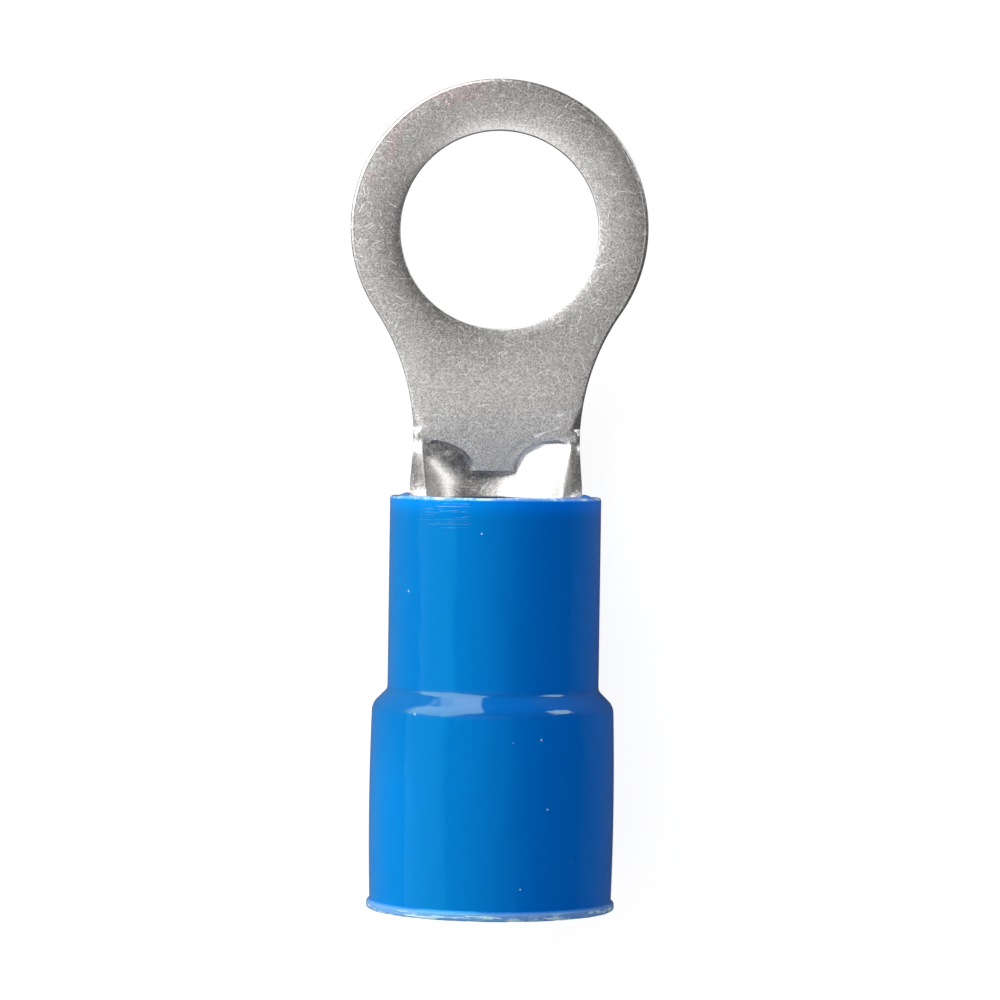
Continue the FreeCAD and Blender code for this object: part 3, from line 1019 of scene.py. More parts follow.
# %% Collar, position and the finished tree
beyond = number("MAXIMUM", number("SUBTRACT", radius, given["Collar radius"]), 0.0)
fallen = number("POWER", number("DIVIDE", beyond, 0.0004), 2.0)
collar_top = number("MAXIMUM", number("SUBTRACT", 1.0, fallen), 0.0)
at_side = number("POWER", number("ABSOLUTE", number("SINE", angle)), 14.0)
collar = number("MULTIPLY", number("MULTIPLY", collar_top, at_side),
                number("MULTIPLY", given["Collar"], near_place("Rim place", 0.0006)))
turned = tree.nodes.new("ShaderNodeCombineXYZ")
tree.links.new(number("MULTIPLY", radius, number("SINE", angle)), turned.inputs[0])
shifts = number("ADD", number("ADD", rim_shift, collar), lip_shift)
tree.links.new(number("ADD", along, shifts), turned.inputs[1])
drop = number("MULTIPLY", radius, number("COSINE", angle))
tree.links.new(number("SUBTRACT", given["Axis height"], drop), turned.inputs[2])
wrap = turning_node("GeometryNodeSetPosition", Geometry=flat_grid.outputs["Mesh"], Position=turned.outputs[0])
closed = turning_node("GeometryNodeMergeByDistance", Geometry=wrap.outputs[0])
closed.inputs["Distance"].default_value = 1e-7
real = turning_node("GeometryNodeRealizeInstances", Geometry=closed.outputs[0])
painted = turning_node("GeometryNodeSetMaterial", Geometry=real.outputs[0], Material=given["Material"])
tree.links.new(painted.outputs[0], result.inputs[0])
print("nodes in the finished tree:", len(tree.nodes))

# %% [markdown]
# ## Turning the sleeve
# The tree runs in a modifier on an empty mesh. Its inputs are set by their identifiers before it is
# evaluated for the first time. The result is then copied into a plain mesh, and the modifier goes: the
# piece that is handed on must be real faces, because other programs know nothing of Blender's modifiers.
# The plastic's material is set up here too, still in one plain colour, since the tree gives it to the
# faces. The solids came with a material of the same name; it is used again, because a second one would be
# called blue_plastic.001.

# %% A material with its main settings
def new_material(name, colour, roughness, metallic=0.0):
    """A material and its Principled shader."""
    material = bpy.data.materials.get(name) or bpy.data.materials.new(name)
    material.use_nodes = True
    shader = material.node_tree.nodes["Principled BSDF"]
    shader.inputs["Base Color"].default_value = (*colour, 1)
    shader.inputs["Roughness"].default_value = roughness
    shader.inputs["Metallic"].default_value = metallic
    return material, shader


plastic, plastic_shader = new_material("blue_plastic", (0.0, 0.19, 0.62), 0.1)
print("material", plastic.name)

# %% Run the tree and keep its result as a plain mesh
maker = bpy.data.objects.new("sleeve_maker", bpy.data.meshes.new("sleeve_start"))
bpy.context.scene.collection.objects.link(maker)
modifier = maker.modifiers.new("turned", "NODES")
modifier.node_group = tree
inputs = {
    "Profile": profile_object, "Points": len(profile), "Around": 256, "Axis height": AXIS_Z * MM,
    "Rim wave": 0.12 * MM, "Rim place": FRONT_Y * MM, "Lip wave": 0.12 * MM, "Lip place": SLEEVE_REAR_Y * MM,
    "Collar": 0.12 * MM, "Collar radius": BARREL_R * MM, "Material": plastic,
}
for item in tree.interface.items_tree:
    if item.in_out == "INPUT":
        modifier[item.identifier] = inputs[item.name]
maker.update_tag()
bpy.context.view_layer.update()
sleeve_mesh = bpy.data.meshes.new_from_object(maker.evaluated_get(bpy.context.evaluated_depsgraph_get()))
sleeve_mesh.name = "insulating_sleeve_skin"
maker.modifiers.remove(modifier)
for spare in (maker, profile_object):
    bpy.data.objects.remove(spare)
sleeve = finished_piece("insulating_sleeve_skin", sleeve_mesh, 1e-7)

# %% [markdown]
# ## Short names for shader nodes
# Both finishes are built from nodes: patterns made by formulas, which stay sharp at any zoom, unlike an
# image. They could be laid out in the Shader Editor, but a script can be read and changed line by line.
# `wire` gives four short helpers for one material: add a node, join two sockets, do a sum, and turn a range
# of values into a share that eases from one number to another.

# %% A node with its settings
def node(tree, kind, **values):
    """A node with some of its inputs or properties set."""
    made = tree.nodes.new(kind)
    for name, value in values.items():
        if name in made.inputs:
            made.inputs[name].default_value = value
        else:
            setattr(made, name, value)
    return made


print("node helper:", node.__doc__)

# %% Helpers for one material
def wire(material):
    """Helpers that add to one material's node tree."""
    tree = material.node_tree

    def add(kind, **values):
        return node(tree, kind, **values)

    def join(a, b):
        tree.links.new(a, b)

    def maths(kind, a, b=None):
        return calculate(tree, kind, a, b)

    def ramp(value, low, high, a=0.0, b=1.0):
        made = tree.nodes.new("ShaderNodeMapRange")
        made.interpolation_type = "SMOOTHSTEP"
        for name, end in (("From Min", low), ("From Max", high), ("To Min", a), ("To Max", b)):
            made.inputs[name].default_value = end
        tree.links.new(value, made.inputs["Value"])
        return made.outputs[0]

    return add, join, maths, ramp


print("helpers:", [helper.__name__ for helper in wire(plastic)])

# %% [markdown]
# ## Millimetres on the object, and noise
# Patterns need a place on the surface. Generated coordinates would stretch with the object's box, and a UV
# map would need seams. Object coordinates are true lengths, so a scratch of half a millimetre is written as
# half a millimetre. `noise` reads a cloudy pattern there, and can squash it, for marks that run in one
# direction.

# %% Place on the object and noise
def millimetres(material):
    """The object's own coordinates, in millimetres."""
    add, join, maths, ramp = wire(material)
    scaled = add("ShaderNodeVectorMath", operation="SCALE")
    scaled.inputs["Scale"].default_value = 1000
    join(add("ShaderNodeTexCoord").outputs["Object"], scaled.inputs[0])
    return scaled.outputs[0]


def noise(material, vector, per_mm, detail=2.0, rough=0.5, shift=(0, 0, 0), squash=(1, 1, 1)):
    """A cloudy pattern between 0 and 1."""
    add, join, maths, ramp = wire(material)
    mapping = add("ShaderNodeMapping")
    mapping.inputs["Location"].default_value = shift
    mapping.inputs["Scale"].default_value = squash
    join(vector, mapping.inputs["Vector"])
    made = add("ShaderNodeTexNoise", Scale=per_mm, Detail=detail, Roughness=rough)
    join(mapping.outputs[0], made.inputs["Vector"])
    return made.outputs[0]


print("pattern helpers ready")

# %% [markdown]
# ## Scratches
# Tinned sheet is full of short, thin scratches in every direction. Stretched noise makes them all parallel,
# and drawing each is hopeless. A cell pattern divides the surface and gives every cell a random colour.
# Here each cell draws one thin line through its own point, turned and weakened by that colour. A little
# noise bends the whole pattern, so that the lines aren't ruler-straight.

# %% Cells with a place and two chances
def bent_cells(material, vector, per_mm, shift, warp_by):
    """Offsets from the cell's own point along x and y, and two random numbers per cell."""
    add, join, maths, ramp = wire(material)
    mapping = add("ShaderNodeMapping")
    mapping.inputs["Location"].default_value = (shift, shift * 0.7, shift * 0.3)
    mapping.inputs["Scale"].default_value = (per_mm, per_mm, per_mm * 0.25)
    join(vector, mapping.inputs["Vector"])
    bend = add("ShaderNodeTexNoise", Scale=1.3, Detail=1.0)
    join(mapping.outputs[0], bend.inputs["Vector"])
    warp = add("ShaderNodeVectorMath", operation="MULTIPLY_ADD")
    warp.inputs[1].default_value = (warp_by, warp_by, 0.0)
    join(bend.outputs["Color"], warp.inputs[0])
    join(mapping.outputs[0], warp.inputs[2])
    cells = add("ShaderNodeTexVoronoi", Scale=1.0, Randomness=1.0)
    join(warp.outputs[0], cells.inputs["Vector"])
    away = add("ShaderNodeVectorMath", operation="SUBTRACT")
    join(warp.outputs[0], away.inputs[0])
    join(cells.outputs["Position"], away.inputs[1])
    offset, chance = add("ShaderNodeSeparateXYZ"), add("ShaderNodeSeparateXYZ")
    join(away.outputs[0], offset.inputs[0])
    join(cells.outputs["Color"], chance.inputs[0])
    return offset.outputs[0], offset.outputs[1], chance.outputs[0], chance.outputs[1]


print("each cell gives", bent_cells.__doc__)

# %% One line in each cell
def scratches(material, vector, per_mm, length, width, shift, warp_by=0.5):
    """1 on short thin lines, 0 between them."""
    add, join, maths, ramp = wire(material)
    dx, dy, pick, force = bent_cells(material, vector, per_mm, shift, warp_by)
    turn = maths("MULTIPLY", pick, 6.283)
    c, s = maths("COSINE", turn), maths("SINE", turn)
    across = maths("ABSOLUTE", maths("ADD", maths("MULTIPLY", dx, c), maths("MULTIPLY", dy, s)))
    along = maths("ABSOLUTE", maths("SUBTRACT", maths("MULTIPLY", dy, c), maths("MULTIPLY", dx, s)))
    line = maths("MULTIPLY", ramp(across, width, width * 0.3), ramp(along, length, length * 0.6))
    return maths("MULTIPLY", line, ramp(force, 0.15, 1.0))


print("scratch helper ready")

# %% [markdown]
# ## Satin tin: scratches
# The plating is tin, a soft pale metal, so it gets a metallic shader with fairly rough highlights. Its
# surface is rubbed by other terminals in the bag: four sizes of scratches lie over each other, with two
# layers of long straight hairlines. A single size would look like fabric.

# %% The tin and its scratches
tin, tin_shader = new_material("tinned_metal", (0.6, 0.59, 0.575), 0.34, 1.0)
terminal.data.materials.append(tin)
add, join, maths, ramp = wire(tin)
spot = millimetres(tin)
marks = scratches(tin, spot, 2.6, 0.42, 0.05, 0.0)
for per_mm, length, width, shift in ((4.0, 0.45, 0.06, 3.1), (5.5, 0.5, 0.08, 7.7), (8.0, 0.5, 0.12, 21.0)):
    marks = maths("MAXIMUM", marks, scratches(tin, spot, per_mm, length, width, shift))
hairs = maths("MAXIMUM", scratches(tin, spot, 1.3, 0.30, 0.024, 12.4, 0.2),
              scratches(tin, spot, 1.9, 0.3, 0.036, 31.0, 0.25))
marks = maths("MAXIMUM", maths("MULTIPLY", marks, 0.7), maths("MULTIPLY", hairs, 1.5))
print("nodes in the tin:", len(tin.node_tree.nodes))

# %% [markdown]
# ## Satin tin: three bright nicks
# Beside the right arch the photo shows a long bright nick, and there is another on the ring. Random
# scratches never fall on a chosen place, so these are drawn: a nick is bright where the distance from a
# line is small, and a little noise lets the line wander.

# %% Nicks between two places
spot_parts = add("ShaderNodeSeparateXYZ")
join(spot, spot_parts.inputs[0])
across, along, height = spot_parts.outputs


def nick(start, end, width):
    """A bright, nearly straight nick between two places on the face."""
    length = math.dist(start, end)
    step = ((end[0] - start[0]) / length, (end[1] - start[1]) / length)
    dx = maths("SUBTRACT", across, start[0])
    dy = maths("SUBTRACT", along, start[1])
    along_it = maths("ADD", maths("MULTIPLY", dx, step[0]), maths("MULTIPLY", dy, step[1]))
    off = maths("ABSOLUTE", maths("SUBTRACT", maths("MULTIPLY", dx, step[1]), maths("MULTIPLY", dy, step[0])))
    wander = maths("MULTIPLY", maths("SUBTRACT", noise(tin, spot, 3.0, detail=3.0), 0.5), 0.2)
    off = maths("ABSOLUTE", maths("ADD", off, wander))
    inside = maths("MULTIPLY", ramp(along_it, 0.0, 0.15), ramp(along_it, length, length - 0.15))
    return maths("MULTIPLY", ramp(off, width, width * 0.4), inside)


nicks = maths("MAXIMUM", nick((1.54, -8.76), (2.69, -8.3), 0.05), nick((2.5, -7.9), (2.9, -7.7), 0.05))
nicks = maths("MAXIMUM", nicks, nick((4.55, 2.5), (5.0, 2.3), 0.04))
marks = maths("MAXIMUM", marks, maths("MULTIPLY", nicks, 1.3))
print("nodes in the tin:", len(tin.node_tree.nodes))

# %% [markdown]
# ## Satin tin: grain
# Between the scratches the plating has a fine grain and large, very faint clouds. Both change how bright
# the metal is. They are kept as one number, `tone`, which is 1 on average: the later steps multiply it, and
# only at the end is a colour made of it. Mixing colours at each step would work too, but is harder to keep
# in balance.

# %% Grain, clouds and scratches as one tone
grain = noise(tin, spot, 13.0, detail=3.0, rough=0.7)
blotch = noise(tin, spot, 0.55, detail=2.0, shift=(4, 2, 0))
grain_level = maths("SUBTRACT", grain, 0.5)
tone = maths("ADD", maths("MULTIPLY", marks, 0.75), maths("MULTIPLY", grain_level, 2.3))
tone = maths("ADD", tone, maths("MULTIPLY", maths("SUBTRACT", blotch, 0.5), 0.25))
tone = maths("ADD", tone, 1.0)
print("nodes in the tin:", len(tin.node_tree.nodes))

# %% [markdown]
# ## Satin tin: painted light and shade, and the punched wall
# The right pocket and its cheek are painted brighter, as painted light, and the left pocket a little darker,
# as painted shade; the neck gets painted light too. The hole's punched wall is brighter metal, and the flat
# ring stays duller. A map could be painted, but these places follow from height and distance, so a few ramps
# find them, at any size of the picture.

# %% Painted light and shade on pockets and neck, brighter hole wall
distance = maths("SQRT", maths("ADD", maths("MULTIPLY", across, across), maths("MULTIPLY", along, along)))
# painted light and shade: pockets and cheeks brighter on the right, darker on the left and middle
painted_pocket_light_and_shade = maths("ADD", ramp(height, TOP - 0.08, TOP - 0.16), ramp(height, TOP + 0.06, TOP + 0.3))
painted_pocket_light_and_shade = maths("MULTIPLY", maths("MINIMUM", painted_pocket_light_and_shade, 1.0), ramp(along, ARCH_Y + 0.05, ARCH_Y - 0.1))
painted_pocket_light_and_shade = maths("MULTIPLY", painted_pocket_light_and_shade, ramp(maths("ABSOLUTE", across), 3.2, 3.05))
painted_pocket_light_and_shade = maths("MULTIPLY", painted_pocket_light_and_shade, ramp(across, 0.0, 1.5, -0.15, 0.6))
tone = maths("MULTIPLY", tone, maths("ADD", painted_pocket_light_and_shade, 1.0))
# painted light: the neck is made up to 16 % brighter
painted_neck_light = ramp(along, -3.8, -7.2)
tone = maths("MULTIPLY", tone, maths("ADD", maths("MULTIPLY", painted_neck_light, 0.16), 1.0))
punched = ramp(distance, HOLE_R + 0.05, HOLE_R + 0.01)
tone = maths("MULTIPLY", tone, maths("ADD", maths("MULTIPLY", punched, 0.7), 1.0))
print("nodes in the tin:", len(tin.node_tree.nodes))

# %% [markdown]
# ## Satin tin: a painted pink reflection, and the finished colour
# A faint pinkish reflection is painted along the upper left edge of the ring, on its outer slope. The angle
# round the hole and the distance from it say where, and noise breaks it up. Two close metal colours are
# mixed by it, and the tone scales the result.

# %% Painted reflection and colour
PALE_TIN = (0.575, 0.562, 0.55, 1)
REFLECTED_PINK_TIN = (0.60, 0.52, 0.51, 1)
turn = maths("ARCTAN2", along, across)
# painted reflection: a pink tint on the ring's upper left outer slope
painted_pink_reflection = maths("MULTIPLY", ramp(turn, 1.5, 1.85), ramp(turn, 3.0, 2.6))
painted_pink_reflection = maths("MULTIPLY", painted_pink_reflection, ramp(distance, 5.2, 5.7))
painted_pink_reflection = maths("MULTIPLY", painted_pink_reflection, ramp(noise(tin, spot, 0.9, detail=2.0, shift=(1, 5, 0)), 0.4, 0.6))
tin_with_reflection = add("ShaderNodeMix", data_type="RGBA")
join(painted_pink_reflection, tin_with_reflection.inputs["Factor"])
tin_with_reflection.inputs["A"].default_value = PALE_TIN
tin_with_reflection.inputs["B"].default_value = REFLECTED_PINK_TIN
colour = add("ShaderNodeVectorMath", operation="SCALE")
join(tin_with_reflection.outputs["Result"], colour.inputs[0])
join(tone, colour.inputs["Scale"])
join(colour.outputs[0], tin_shader.inputs["Base Color"])
print("nodes in the tin:", len(tin.node_tree.nodes))

# %% [markdown]
# ## Satin tin: roughness and fine relief
# Scratches don't only change the brightness, they catch the light at their own angle. Real grooves a few
# thousandths of a millimetre deep would need millions of faces, so here a bump is right: it tilts the light
# without moving the surface. The grain also makes the highlight a little uneven.

# %% Roughness and bump
rough = maths("ADD", maths("MULTIPLY", grain_level, 0.25), maths("ADD", maths("MULTIPLY", marks, 0.12), 0.36))
join(rough, tin_shader.inputs["Roughness"])
relief = maths("ADD", maths("MULTIPLY", marks, 0.5), grain)
bump = add("ShaderNodeBump", Strength=0.22, Distance=0.00003)
join(relief, bump.inputs["Height"])
join(bump.outputs[0], tin_shader.inputs["Normal"])
print("nodes in the tin:", len(tin.node_tree.nodes))

# %% [markdown]
# ## Blue plastic: turning marks and soft waves
# The sleeve is moulded in a polished mould, so it is glossy, but never perfectly even: reflections on it
# waver. Slow noise makes them waver, quicker noise ripples their borders, and in patches very fine rings
# run round the sleeve. The rings are noise squashed along the axis. All of it is far too fine for real
# faces, so it is bump.

# %% Relief of the plastic
add, join, maths, ramp = wire(plastic)
spot = millimetres(plastic)
parts = add("ShaderNodeSeparateXYZ")
join(spot, parts.inputs[0])
across, along, height = parts.outputs
lines = noise(plastic, spot, 1.0, detail=3.0, rough=0.7, squash=(0.15, 14.0, 0.15))
patch = noise(plastic, spot, 0.4, detail=1.0, shift=(3, 8, 1))
wave = noise(plastic, spot, 0.5, detail=1.5, shift=(9, 1, 5), squash=(1.6, 0.7, 1.6))
ripple = noise(plastic, spot, 2.4, detail=3.0, rough=0.65, shift=(2, 6, 4))
relief = maths("ADD", maths("MULTIPLY", maths("MULTIPLY", lines, ramp(patch, 0.45, 0.62)), 0.05), wave)
relief = maths("ADD", relief, maths("MULTIPLY", ripple, 0.07))
bump = add("ShaderNodeBump", Strength=0.5, Distance=0.00012)
join(relief, bump.inputs["Height"])
join(bump.outputs[0], plastic_shader.inputs["Normal"])
print("nodes in the plastic:", len(plastic.node_tree.nodes))

# %% [markdown]
# ## Blue plastic: pale rims and a painted rim highlight
# Where plastic is cut or bruised it turns pale. The rear lip is pale all round and chipped along its edge,
# and the front rim's rounded edge gets a ragged painted highlight. `pale_and_highlights` collects all of this
# as a share between 0 and 1. The chips are noise with a hard limit, squashed so that they run along the edge,
# and they fade out towards the bore.

# %% Pale lip, chips and painted highlight on the front rim
lip = ramp(along, SLEEVE_REAR_Y + 0.42, SLEEVE_REAR_Y + 0.28)
from_axis = maths("SUBTRACT", height, AXIS_Z)
from_axis = maths("ADD", maths("MULTIPLY", from_axis, from_axis), maths("MULTIPLY", across, across))
from_axis = maths("SQRT", from_axis)
torn = noise(plastic, spot, 1.7, detail=5.0, rough=0.8, shift=(2, 0, 7), squash=(0.4, 3.4, 0.4))
chips = ramp(torn, 0.52, 0.58)
edge_band = maths("MULTIPLY", ramp(along, SLEEVE_REAR_Y + 0.3, SLEEVE_REAR_Y + 0.2),
                  ramp(from_axis, LIP_R - 0.34, LIP_R - 0.16, 0.12, 1.0))
pale_and_highlights = maths("ADD", maths("MULTIPLY", lip, 0.26), maths("MULTIPLY", maths("MULTIPLY", chips, edge_band), 0.9))
# painted highlight: a ragged pale line on the front rim's rounded edge
rim = maths("MULTIPLY", ramp(along, FRONT_Y - 0.16, FRONT_Y - 0.07),
            ramp(from_axis, FRONT_R - 0.3, FRONT_R - 0.14, 0.2, 1.0))
ragged_rim_highlight = ramp(noise(plastic, spot, 1.6, detail=4.0, rough=0.7, shift=(5, 0, 2)), 0.45, 0.6)
pale_and_highlights = maths("ADD", pale_and_highlights, maths("MULTIPLY", rim, maths("ADD", maths("MULTIPLY", ragged_rim_highlight, 0.6), 0.2)))
print("nodes in the plastic:", len(plastic.node_tree.nodes))

# %% [markdown]
# ## Blue plastic: dust and painted glints on fine marks
# A few specks of dust lie on the sleeve, and just behind the front rim, on the left, fine marks catch the
# light;
# their glints are painted as pale lines. Dust could be tiny spheres, but at a tenth of a millimetre a dot of
# colour looks the same: it is the very centre of those cells whose middle happens to lie at the surface. The
# painted glint lines are noise squashed along the axis, inside a soft box.

# %% Dust and painted glint lines
dust_cells = add("ShaderNodeTexVoronoi", Scale=0.7)
join(spot, dust_cells.inputs["Vector"])
pale_and_highlights = maths("ADD", pale_and_highlights, maths("MULTIPLY", ramp(dust_cells.outputs["Distance"], 0.040, 0.026), 0.8))
# painted highlights: pale glint lines on fine marks behind the front rim
painted_glint_lines = maths("MULTIPLY", ramp(along, FRONT_Y - 2.0, FRONT_Y - 0.3), ramp(across, -0.9, -1.3))
painted_glint_lines = maths("MULTIPLY", painted_glint_lines, ramp(across, -3.3, -2.4))
fine = noise(plastic, spot, 1.0, detail=4.0, rough=0.8, shift=(0, 3, 0), squash=(0.7, 16.0, 0.5))
painted_glint_lines = maths("MULTIPLY", painted_glint_lines, ramp(fine, 0.54, 0.66))
pale_and_highlights = maths("MINIMUM", maths("ADD", pale_and_highlights, maths("MULTIPLY", painted_glint_lines, 0.3)), 1.0)
print("nodes in the plastic:", len(plastic.node_tree.nodes))

# %% [markdown]
# ## Blue plastic: colour, with painted light and shade
# The plastic lets a little light in. Its colour is painted more cyan on the left, where the light falls, and
# deeper blue on the right, as painted shade. A painted glow lightens the band behind the front rim, painted
# light the left of the wide part, and painted shade darkens the shoulder. A flat blue would look like paint.
# So the colour is a slow blend across the sleeve, the pale places lie over it, and a factor lightens or
# darkens it.

# %% Blue with painted side light, pale places, painted light and shade
# painted light and shade: the blue is lighter and more cyan on the left, deeper on the right
SHADED_RIGHT_BLUE = (0.0, 0.15, 0.66, 1)
LIT_LEFT_BLUE = (0.0, 0.215, 0.63, 1)
PALE_AND_HIGHLIGHT_BLUE = (0.6, 0.83, 0.98, 1)
side_lit_blue = add("ShaderNodeMix", data_type="RGBA")
join(ramp(across, 4.2, -4.2), side_lit_blue.inputs["Factor"])
side_lit_blue.inputs["A"].default_value = SHADED_RIGHT_BLUE
side_lit_blue.inputs["B"].default_value = LIT_LEFT_BLUE
blend = add("ShaderNodeMix", data_type="RGBA")
join(pale_and_highlights, blend.inputs["Factor"])
join(side_lit_blue.outputs["Result"], blend.inputs["A"])
blend.inputs["B"].default_value = PALE_AND_HIGHLIGHT_BLUE
# painted shade: the shoulder band is darkened by a fifth; the same band whitens the specular tint
shoulder = maths("MULTIPLY", ramp(along, SHOULDER_Y + 0.1, SHOULDER_Y - 0.15),
                 ramp(along, SHOULDER_Y - 1.15, SHOULDER_Y - 0.8))
# painted light: the left of the wide part is lightened
painted_light_wide_left = maths("MULTIPLY", ramp(across, -2.0, -4.2), ramp(along, SHOULDER_Y - 1.2, SHOULDER_Y - 4.5))
# painted glow: the band behind the front rim is lightened, as by light shining through
painted_rim_glow = ramp(along, FRONT_Y - 0.9, FRONT_Y - 0.15, 1.0, 1.35)
painted_light_factor = maths("ADD", painted_rim_glow, maths("MULTIPLY", painted_light_wide_left, 0.15))
shade = add("ShaderNodeVectorMath", operation="SCALE")
join(blend.outputs["Result"], shade.inputs[0])
join(maths("SUBTRACT", painted_light_factor, maths("MULTIPLY", shoulder, 0.2)), shade.inputs["Scale"])
join(shade.outputs[0], plastic_shader.inputs["Base Color"])
print("nodes in the plastic:", len(plastic.node_tree.nodes))

# %% [markdown]
# ## Blue plastic: gloss and depth
# In the photo reflections on the plain plastic are themselves blue, while the highlight on the shoulder is
# nearly white. The specular tint says so, and changes at the shoulder. A little subsurface light softens
# the shadows, as light that wanders in the plastic does. Values that are the same everywhere are set on the
# shader's own sockets, so that they survive the export.

# %% Specular tint and subsurface light
tint = add("ShaderNodeMix", data_type="RGBA")
join(shoulder, tint.inputs["Factor"])
tint.inputs["A"].default_value = (0.04, 0.8, 0.8, 1)
tint.inputs["B"].default_value = (0.75, 1.0, 0.7, 1)
join(tint.outputs["Result"], plastic_shader.inputs["Specular Tint"])
plastic_shader.inputs["Specular IOR Level"].default_value = 0.65
plastic_shader.inputs["Subsurface Weight"].default_value = 0.25
plastic_shader.inputs["Subsurface Radius"].default_value = (0.2, 0.5, 1.0)
plastic_shader.inputs["Subsurface Scale"].default_value = 0.0012
print("nodes in the plastic:", len(plastic.node_tree.nodes))

# %% [markdown]
# ## Tying the pieces to the part
# The real terminal has two pieces that never move against each other. Each CAD solid is hidden, and its skin
# is parented to one empty that carries the body.

# %% Two pieces, one body
ties = ((terminal, "metal_terminal", "tinned_metal"), (sleeve, "insulating_sleeve", "blue_plastic"))
for piece, solid, slot in ties:
    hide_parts(solid)
    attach(piece, "root")
    print(piece.name, "stands for", solid, "with the material slot", slot)

# %% [markdown]
# ## A white table
# The photo has a plain white background and only a trace of a shadow. Lighting a white table until it burns
# out would wash out the object too. So the floor answers by the kind of ray: for the camera it is nearly
# white and takes a faint shadow, for reflections it is dim, so that the sleeve's sides stay blue, and for
# all other rays it is an ordinary pale table.

# %% A switch by the kind of ray
def by_ray(tree, question, others, chosen):
    """Rays that answer the question with yes take the chosen shader, all others the other one."""
    path = node(tree, "ShaderNodeLightPath")
    switch = node(tree, "ShaderNodeMixShader")
    tree.links.new(path.outputs[question], switch.inputs[0])
    tree.links.new(others, switch.inputs[1])
    tree.links.new(chosen, switch.inputs[2])
    return switch.outputs[0]


print("switch ready:", by_ray.__doc__)

# %% The floor
FLOOR_Z = cad_box[0][2] - 0.0002
FLOOR_HALF = 0.17
floor_mesh = bpy.data.meshes.new("floor")
floor_corners = [(-1, -1), (1, -1), (1, 1), (-1, 1)]
floor_points = [(x * FLOOR_HALF, y * FLOOR_HALF, FLOOR_Z) for x, y in floor_corners]
floor_mesh.from_pydata(floor_points, [], [(0, 1, 2, 3)])
floor = bpy.data.objects.new("floor", floor_mesh)
bpy.context.scene.collection.objects.link(floor)
table_paint, table_shader = new_material("floor_white", (0.85, 0.85, 0.85), 0.8)
table_shader.inputs["Specular IOR Level"].default_value = 0.0
floor_mesh.materials.append(table_paint)
print("floor at z", round(FLOOR_Z / MM, 2), "mm, half width", FLOOR_HALF / MM, "mm")

# %% What each kind of ray sees of the floor
floor_tree = table_paint.node_tree
glow = node(floor_tree, "ShaderNodeEmission", Color=(1, 1, 1, 1), Strength=0.88)
shaded = node(floor_tree, "ShaderNodeBsdfDiffuse", Color=(0.3, 0.3, 0.3, 1))
lifted = node(floor_tree, "ShaderNodeAddShader")
floor_tree.links.new(glow.outputs[0], lifted.inputs[0])
floor_tree.links.new(shaded.outputs[0], lifted.inputs[1])
dim = node(floor_tree, "ShaderNodeBsdfDiffuse", Color=(0.22, 0.22, 0.22, 1))
other_rays = by_ray(floor_tree, "Is Glossy Ray", table_shader.outputs[0], dim.outputs[0])
floor_seen = by_ray(floor_tree, "Is Camera Ray", other_rays, lifted.outputs[0])
floor_tree.links.new(floor_seen, floor_tree.nodes["Material Output"].inputs["Surface"])
print("nodes in the floor:", len(floor_tree.nodes))

# %% [markdown]
# ## The room
# Glossy plastic and metal show the room around them. A picture of a studio could be wrapped round the
# scene, but a formula is lighter and adds no file. For reflections the room is dark with one soft bright
# patch above and a little to the left, for the camera it is plain white, and for everything else a weak
# even light.

# %% The world
scene = bpy.context.scene
world = bpy.data.worlds.new("world")
scene.world = world
world.use_nodes = True
room = world.node_tree
fill = room.nodes["Background"]
fill.inputs["Color"].default_value = (1, 1, 1, 1)
fill.inputs["Strength"].default_value = 0.2
direction = node(room, "ShaderNodeTexCoord")
toward = node(room, "ShaderNodeVectorMath", operation="DOT_PRODUCT")
toward.inputs[1].default_value = Vector((-0.36, -0.30, 0.88)).normalized()
room.links.new(direction.outputs["Generated"], toward.inputs[0])
print("bright patch towards", [round(v, 2) for v in toward.inputs[1].default_value])

# %% What each kind of ray sees of the room
sky = node(room, "ShaderNodeMapRange")
for name, value in (("From Min", 0.6), ("From Max", 1.0), ("To Min", 0.06), ("To Max", 0.8)):
    sky.inputs[name].default_value = value
room.links.new(toward.outputs["Value"], sky.inputs["Value"])
mirrored = node(room, "ShaderNodeBackground", Color=(1, 1, 1, 1))
room.links.new(sky.outputs[0], mirrored.inputs["Strength"])
white = node(room, "ShaderNodeBackground", Color=(1, 1, 1, 1), Strength=1.0)
other_rays = by_ray(room, "Is Glossy Ray", fill.outputs[0], mirrored.outputs[0])
room_seen = by_ray(room, "Is Camera Ray", other_rays, white.outputs[0])
room.links.new(room_seen, room.nodes["World Output"].inputs["Surface"])
print("nodes in the room:", len(room.nodes))

# %% [markdown]
# ## Soft boxes
# The photo seems to be lit by large soft lights: their reflections are the pale band down the sleeve's left
# side and the patch on its shoulder. Small lamps would give hard sparks instead. So each lamp is a
# rectangle that stands round the object like a studio soft box. Its strength is given as the brightness it
# has in a mirror, so that a lamp can be made larger without changing the look of its reflection.

# %% A soft box, lying or standing
def soft_light(name, place, aim, width, height, brightness, spin=None):
    """A soft box; with a spin it lies flat, shines up and is turned by that angle."""
    data = bpy.data.lights.new(name, "AREA")
    data.shape = "RECTANGLE"
    data.size = width
    data.size_y = height
    data.energy = brightness * math.pi * width * height
    lamp = bpy.data.objects.new(name, data)
    lamp.location = place
    if spin is None:
        lamp.rotation_euler = (Vector(aim) - Vector(place)).to_track_quat("-Z", "Y").to_euler()
    else:
        lamp.rotation_euler = (math.pi, 0, spin)
    scene.collection.objects.link(lamp)
    print(name, "power", round(data.energy, 4), "W")


MIDDLE_Y = -0.011


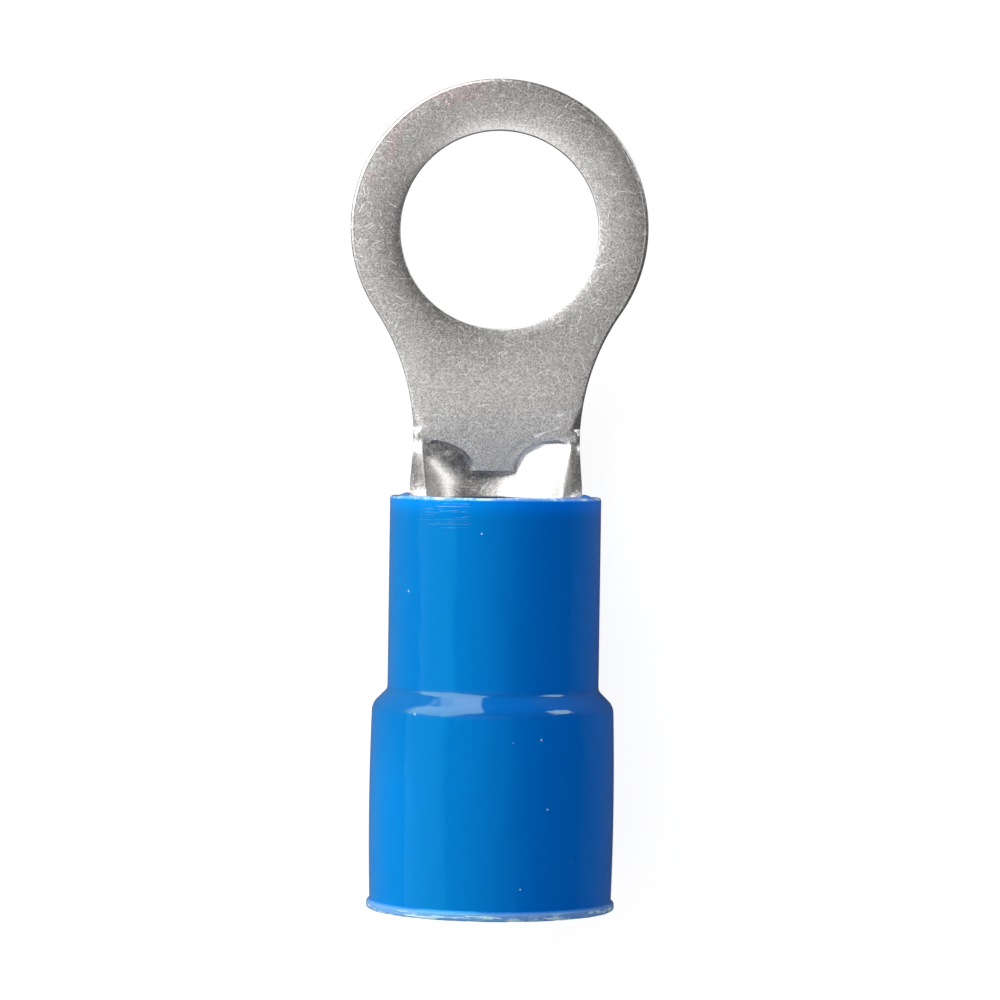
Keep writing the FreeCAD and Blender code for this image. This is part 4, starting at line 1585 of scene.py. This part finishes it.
def standing_light(name, azimuth, spread, low, high, brightness, distance=0.25):
    """An upright soft box; azimuth 0 is the photo's top edge and 90 its left edge, all in degrees."""
    turn = math.radians(azimuth)
    height = distance * (math.tan(math.radians(high)) - math.tan(math.radians(low)))
    middle = distance * (math.tan(math.radians(high)) + math.tan(math.radians(low))) / 2
    centre = (-distance * math.sin(turn), MIDDLE_Y + distance * math.cos(turn), middle)
    width = 2 * distance * math.tan(math.radians(spread / 2))
    soft_light(name, centre, (0, MIDDLE_Y, middle), width, height, brightness)


print("standing lights are turned to y", MIDDLE_Y / MM, "mm")

# %% Five lights
standing_light("top_left_soft", 43, 74, -0.4, 52, 3.4)
standing_light("left_soft", 100, 34, 1, 47, 0.7)
# a pale sheet on the table, in front of the top left box: it fills the lower part of the shoulder's highlight
GLOW_DISTANCE = 0.13
glow_turn = math.radians(37)
glow_x = -GLOW_DISTANCE * math.sin(glow_turn)
glow_y = MIDDLE_Y + GLOW_DISTANCE * math.cos(glow_turn)
glow_place = (glow_x, glow_y, FLOOR_Z + 0.0004)
soft_light("table_glow", glow_place, None, 0.12, 0.15, 2.3, spin=glow_turn)
soft_light("low_soft", (-0.01, -0.18, 0.30), (0, MIDDLE_Y, 0), 0.24, 0.12, 1.9)
standing_light("top_right_soft", -55, 19, 2, 22, 4.5)

# %% [markdown]
# ## The camera
# The photo looks almost straight down, from about 17 cm: the sleeve's lip is curved and slightly larger
# than it would be from afar. Distance, tilt and roll were found by laying outlines of renders over the
# photo. They are turned into a camera matrix directly, because three rotations in a row are hard to keep
# apart by eye.

# %% Place the camera
CAMERA_TILT = math.radians(1.0)
CAMERA_ROLL = math.radians(0.822)
CAMERA_TARGET = Vector((0.1807, -11.432, 0)) * MM
CAMERA_DISTANCE = 174.9 * MM
back = Vector((0, math.sin(CAMERA_TILT), math.cos(CAMERA_TILT)))
level_up = Vector((0, math.cos(CAMERA_TILT), -math.sin(CAMERA_TILT)))
right = math.cos(CAMERA_ROLL) * Vector((1, 0, 0)) + math.sin(CAMERA_ROLL) * level_up
up = back.cross(right)
centre = CAMERA_TARGET + back * CAMERA_DISTANCE
camera_data = bpy.data.cameras.new("camera")
camera_data.sensor_width = 36
camera_data.lens = 4130 * 36 / 1000
camera_data.clip_start = 0.01
camera = bpy.data.objects.new("camera", camera_data)
camera.matrix_world = Matrix((
    (right.x, up.x, back.x, centre.x),
    (right.y, up.y, back.y, centre.y),
    (right.z, up.z, back.z, centre.z),
    (0, 0, 0, 1),
))
scene.collection.objects.link(camera)
scene.camera = camera
scene.view_settings.view_transform = "Standard"
print("camera at", [round(v / MM, 1) for v in centre], "mm, lens", round(camera_data.lens, 1), "mm")

# %% [markdown] ## The end A skin that is larger than its solid would no longer fit the
# other parts.
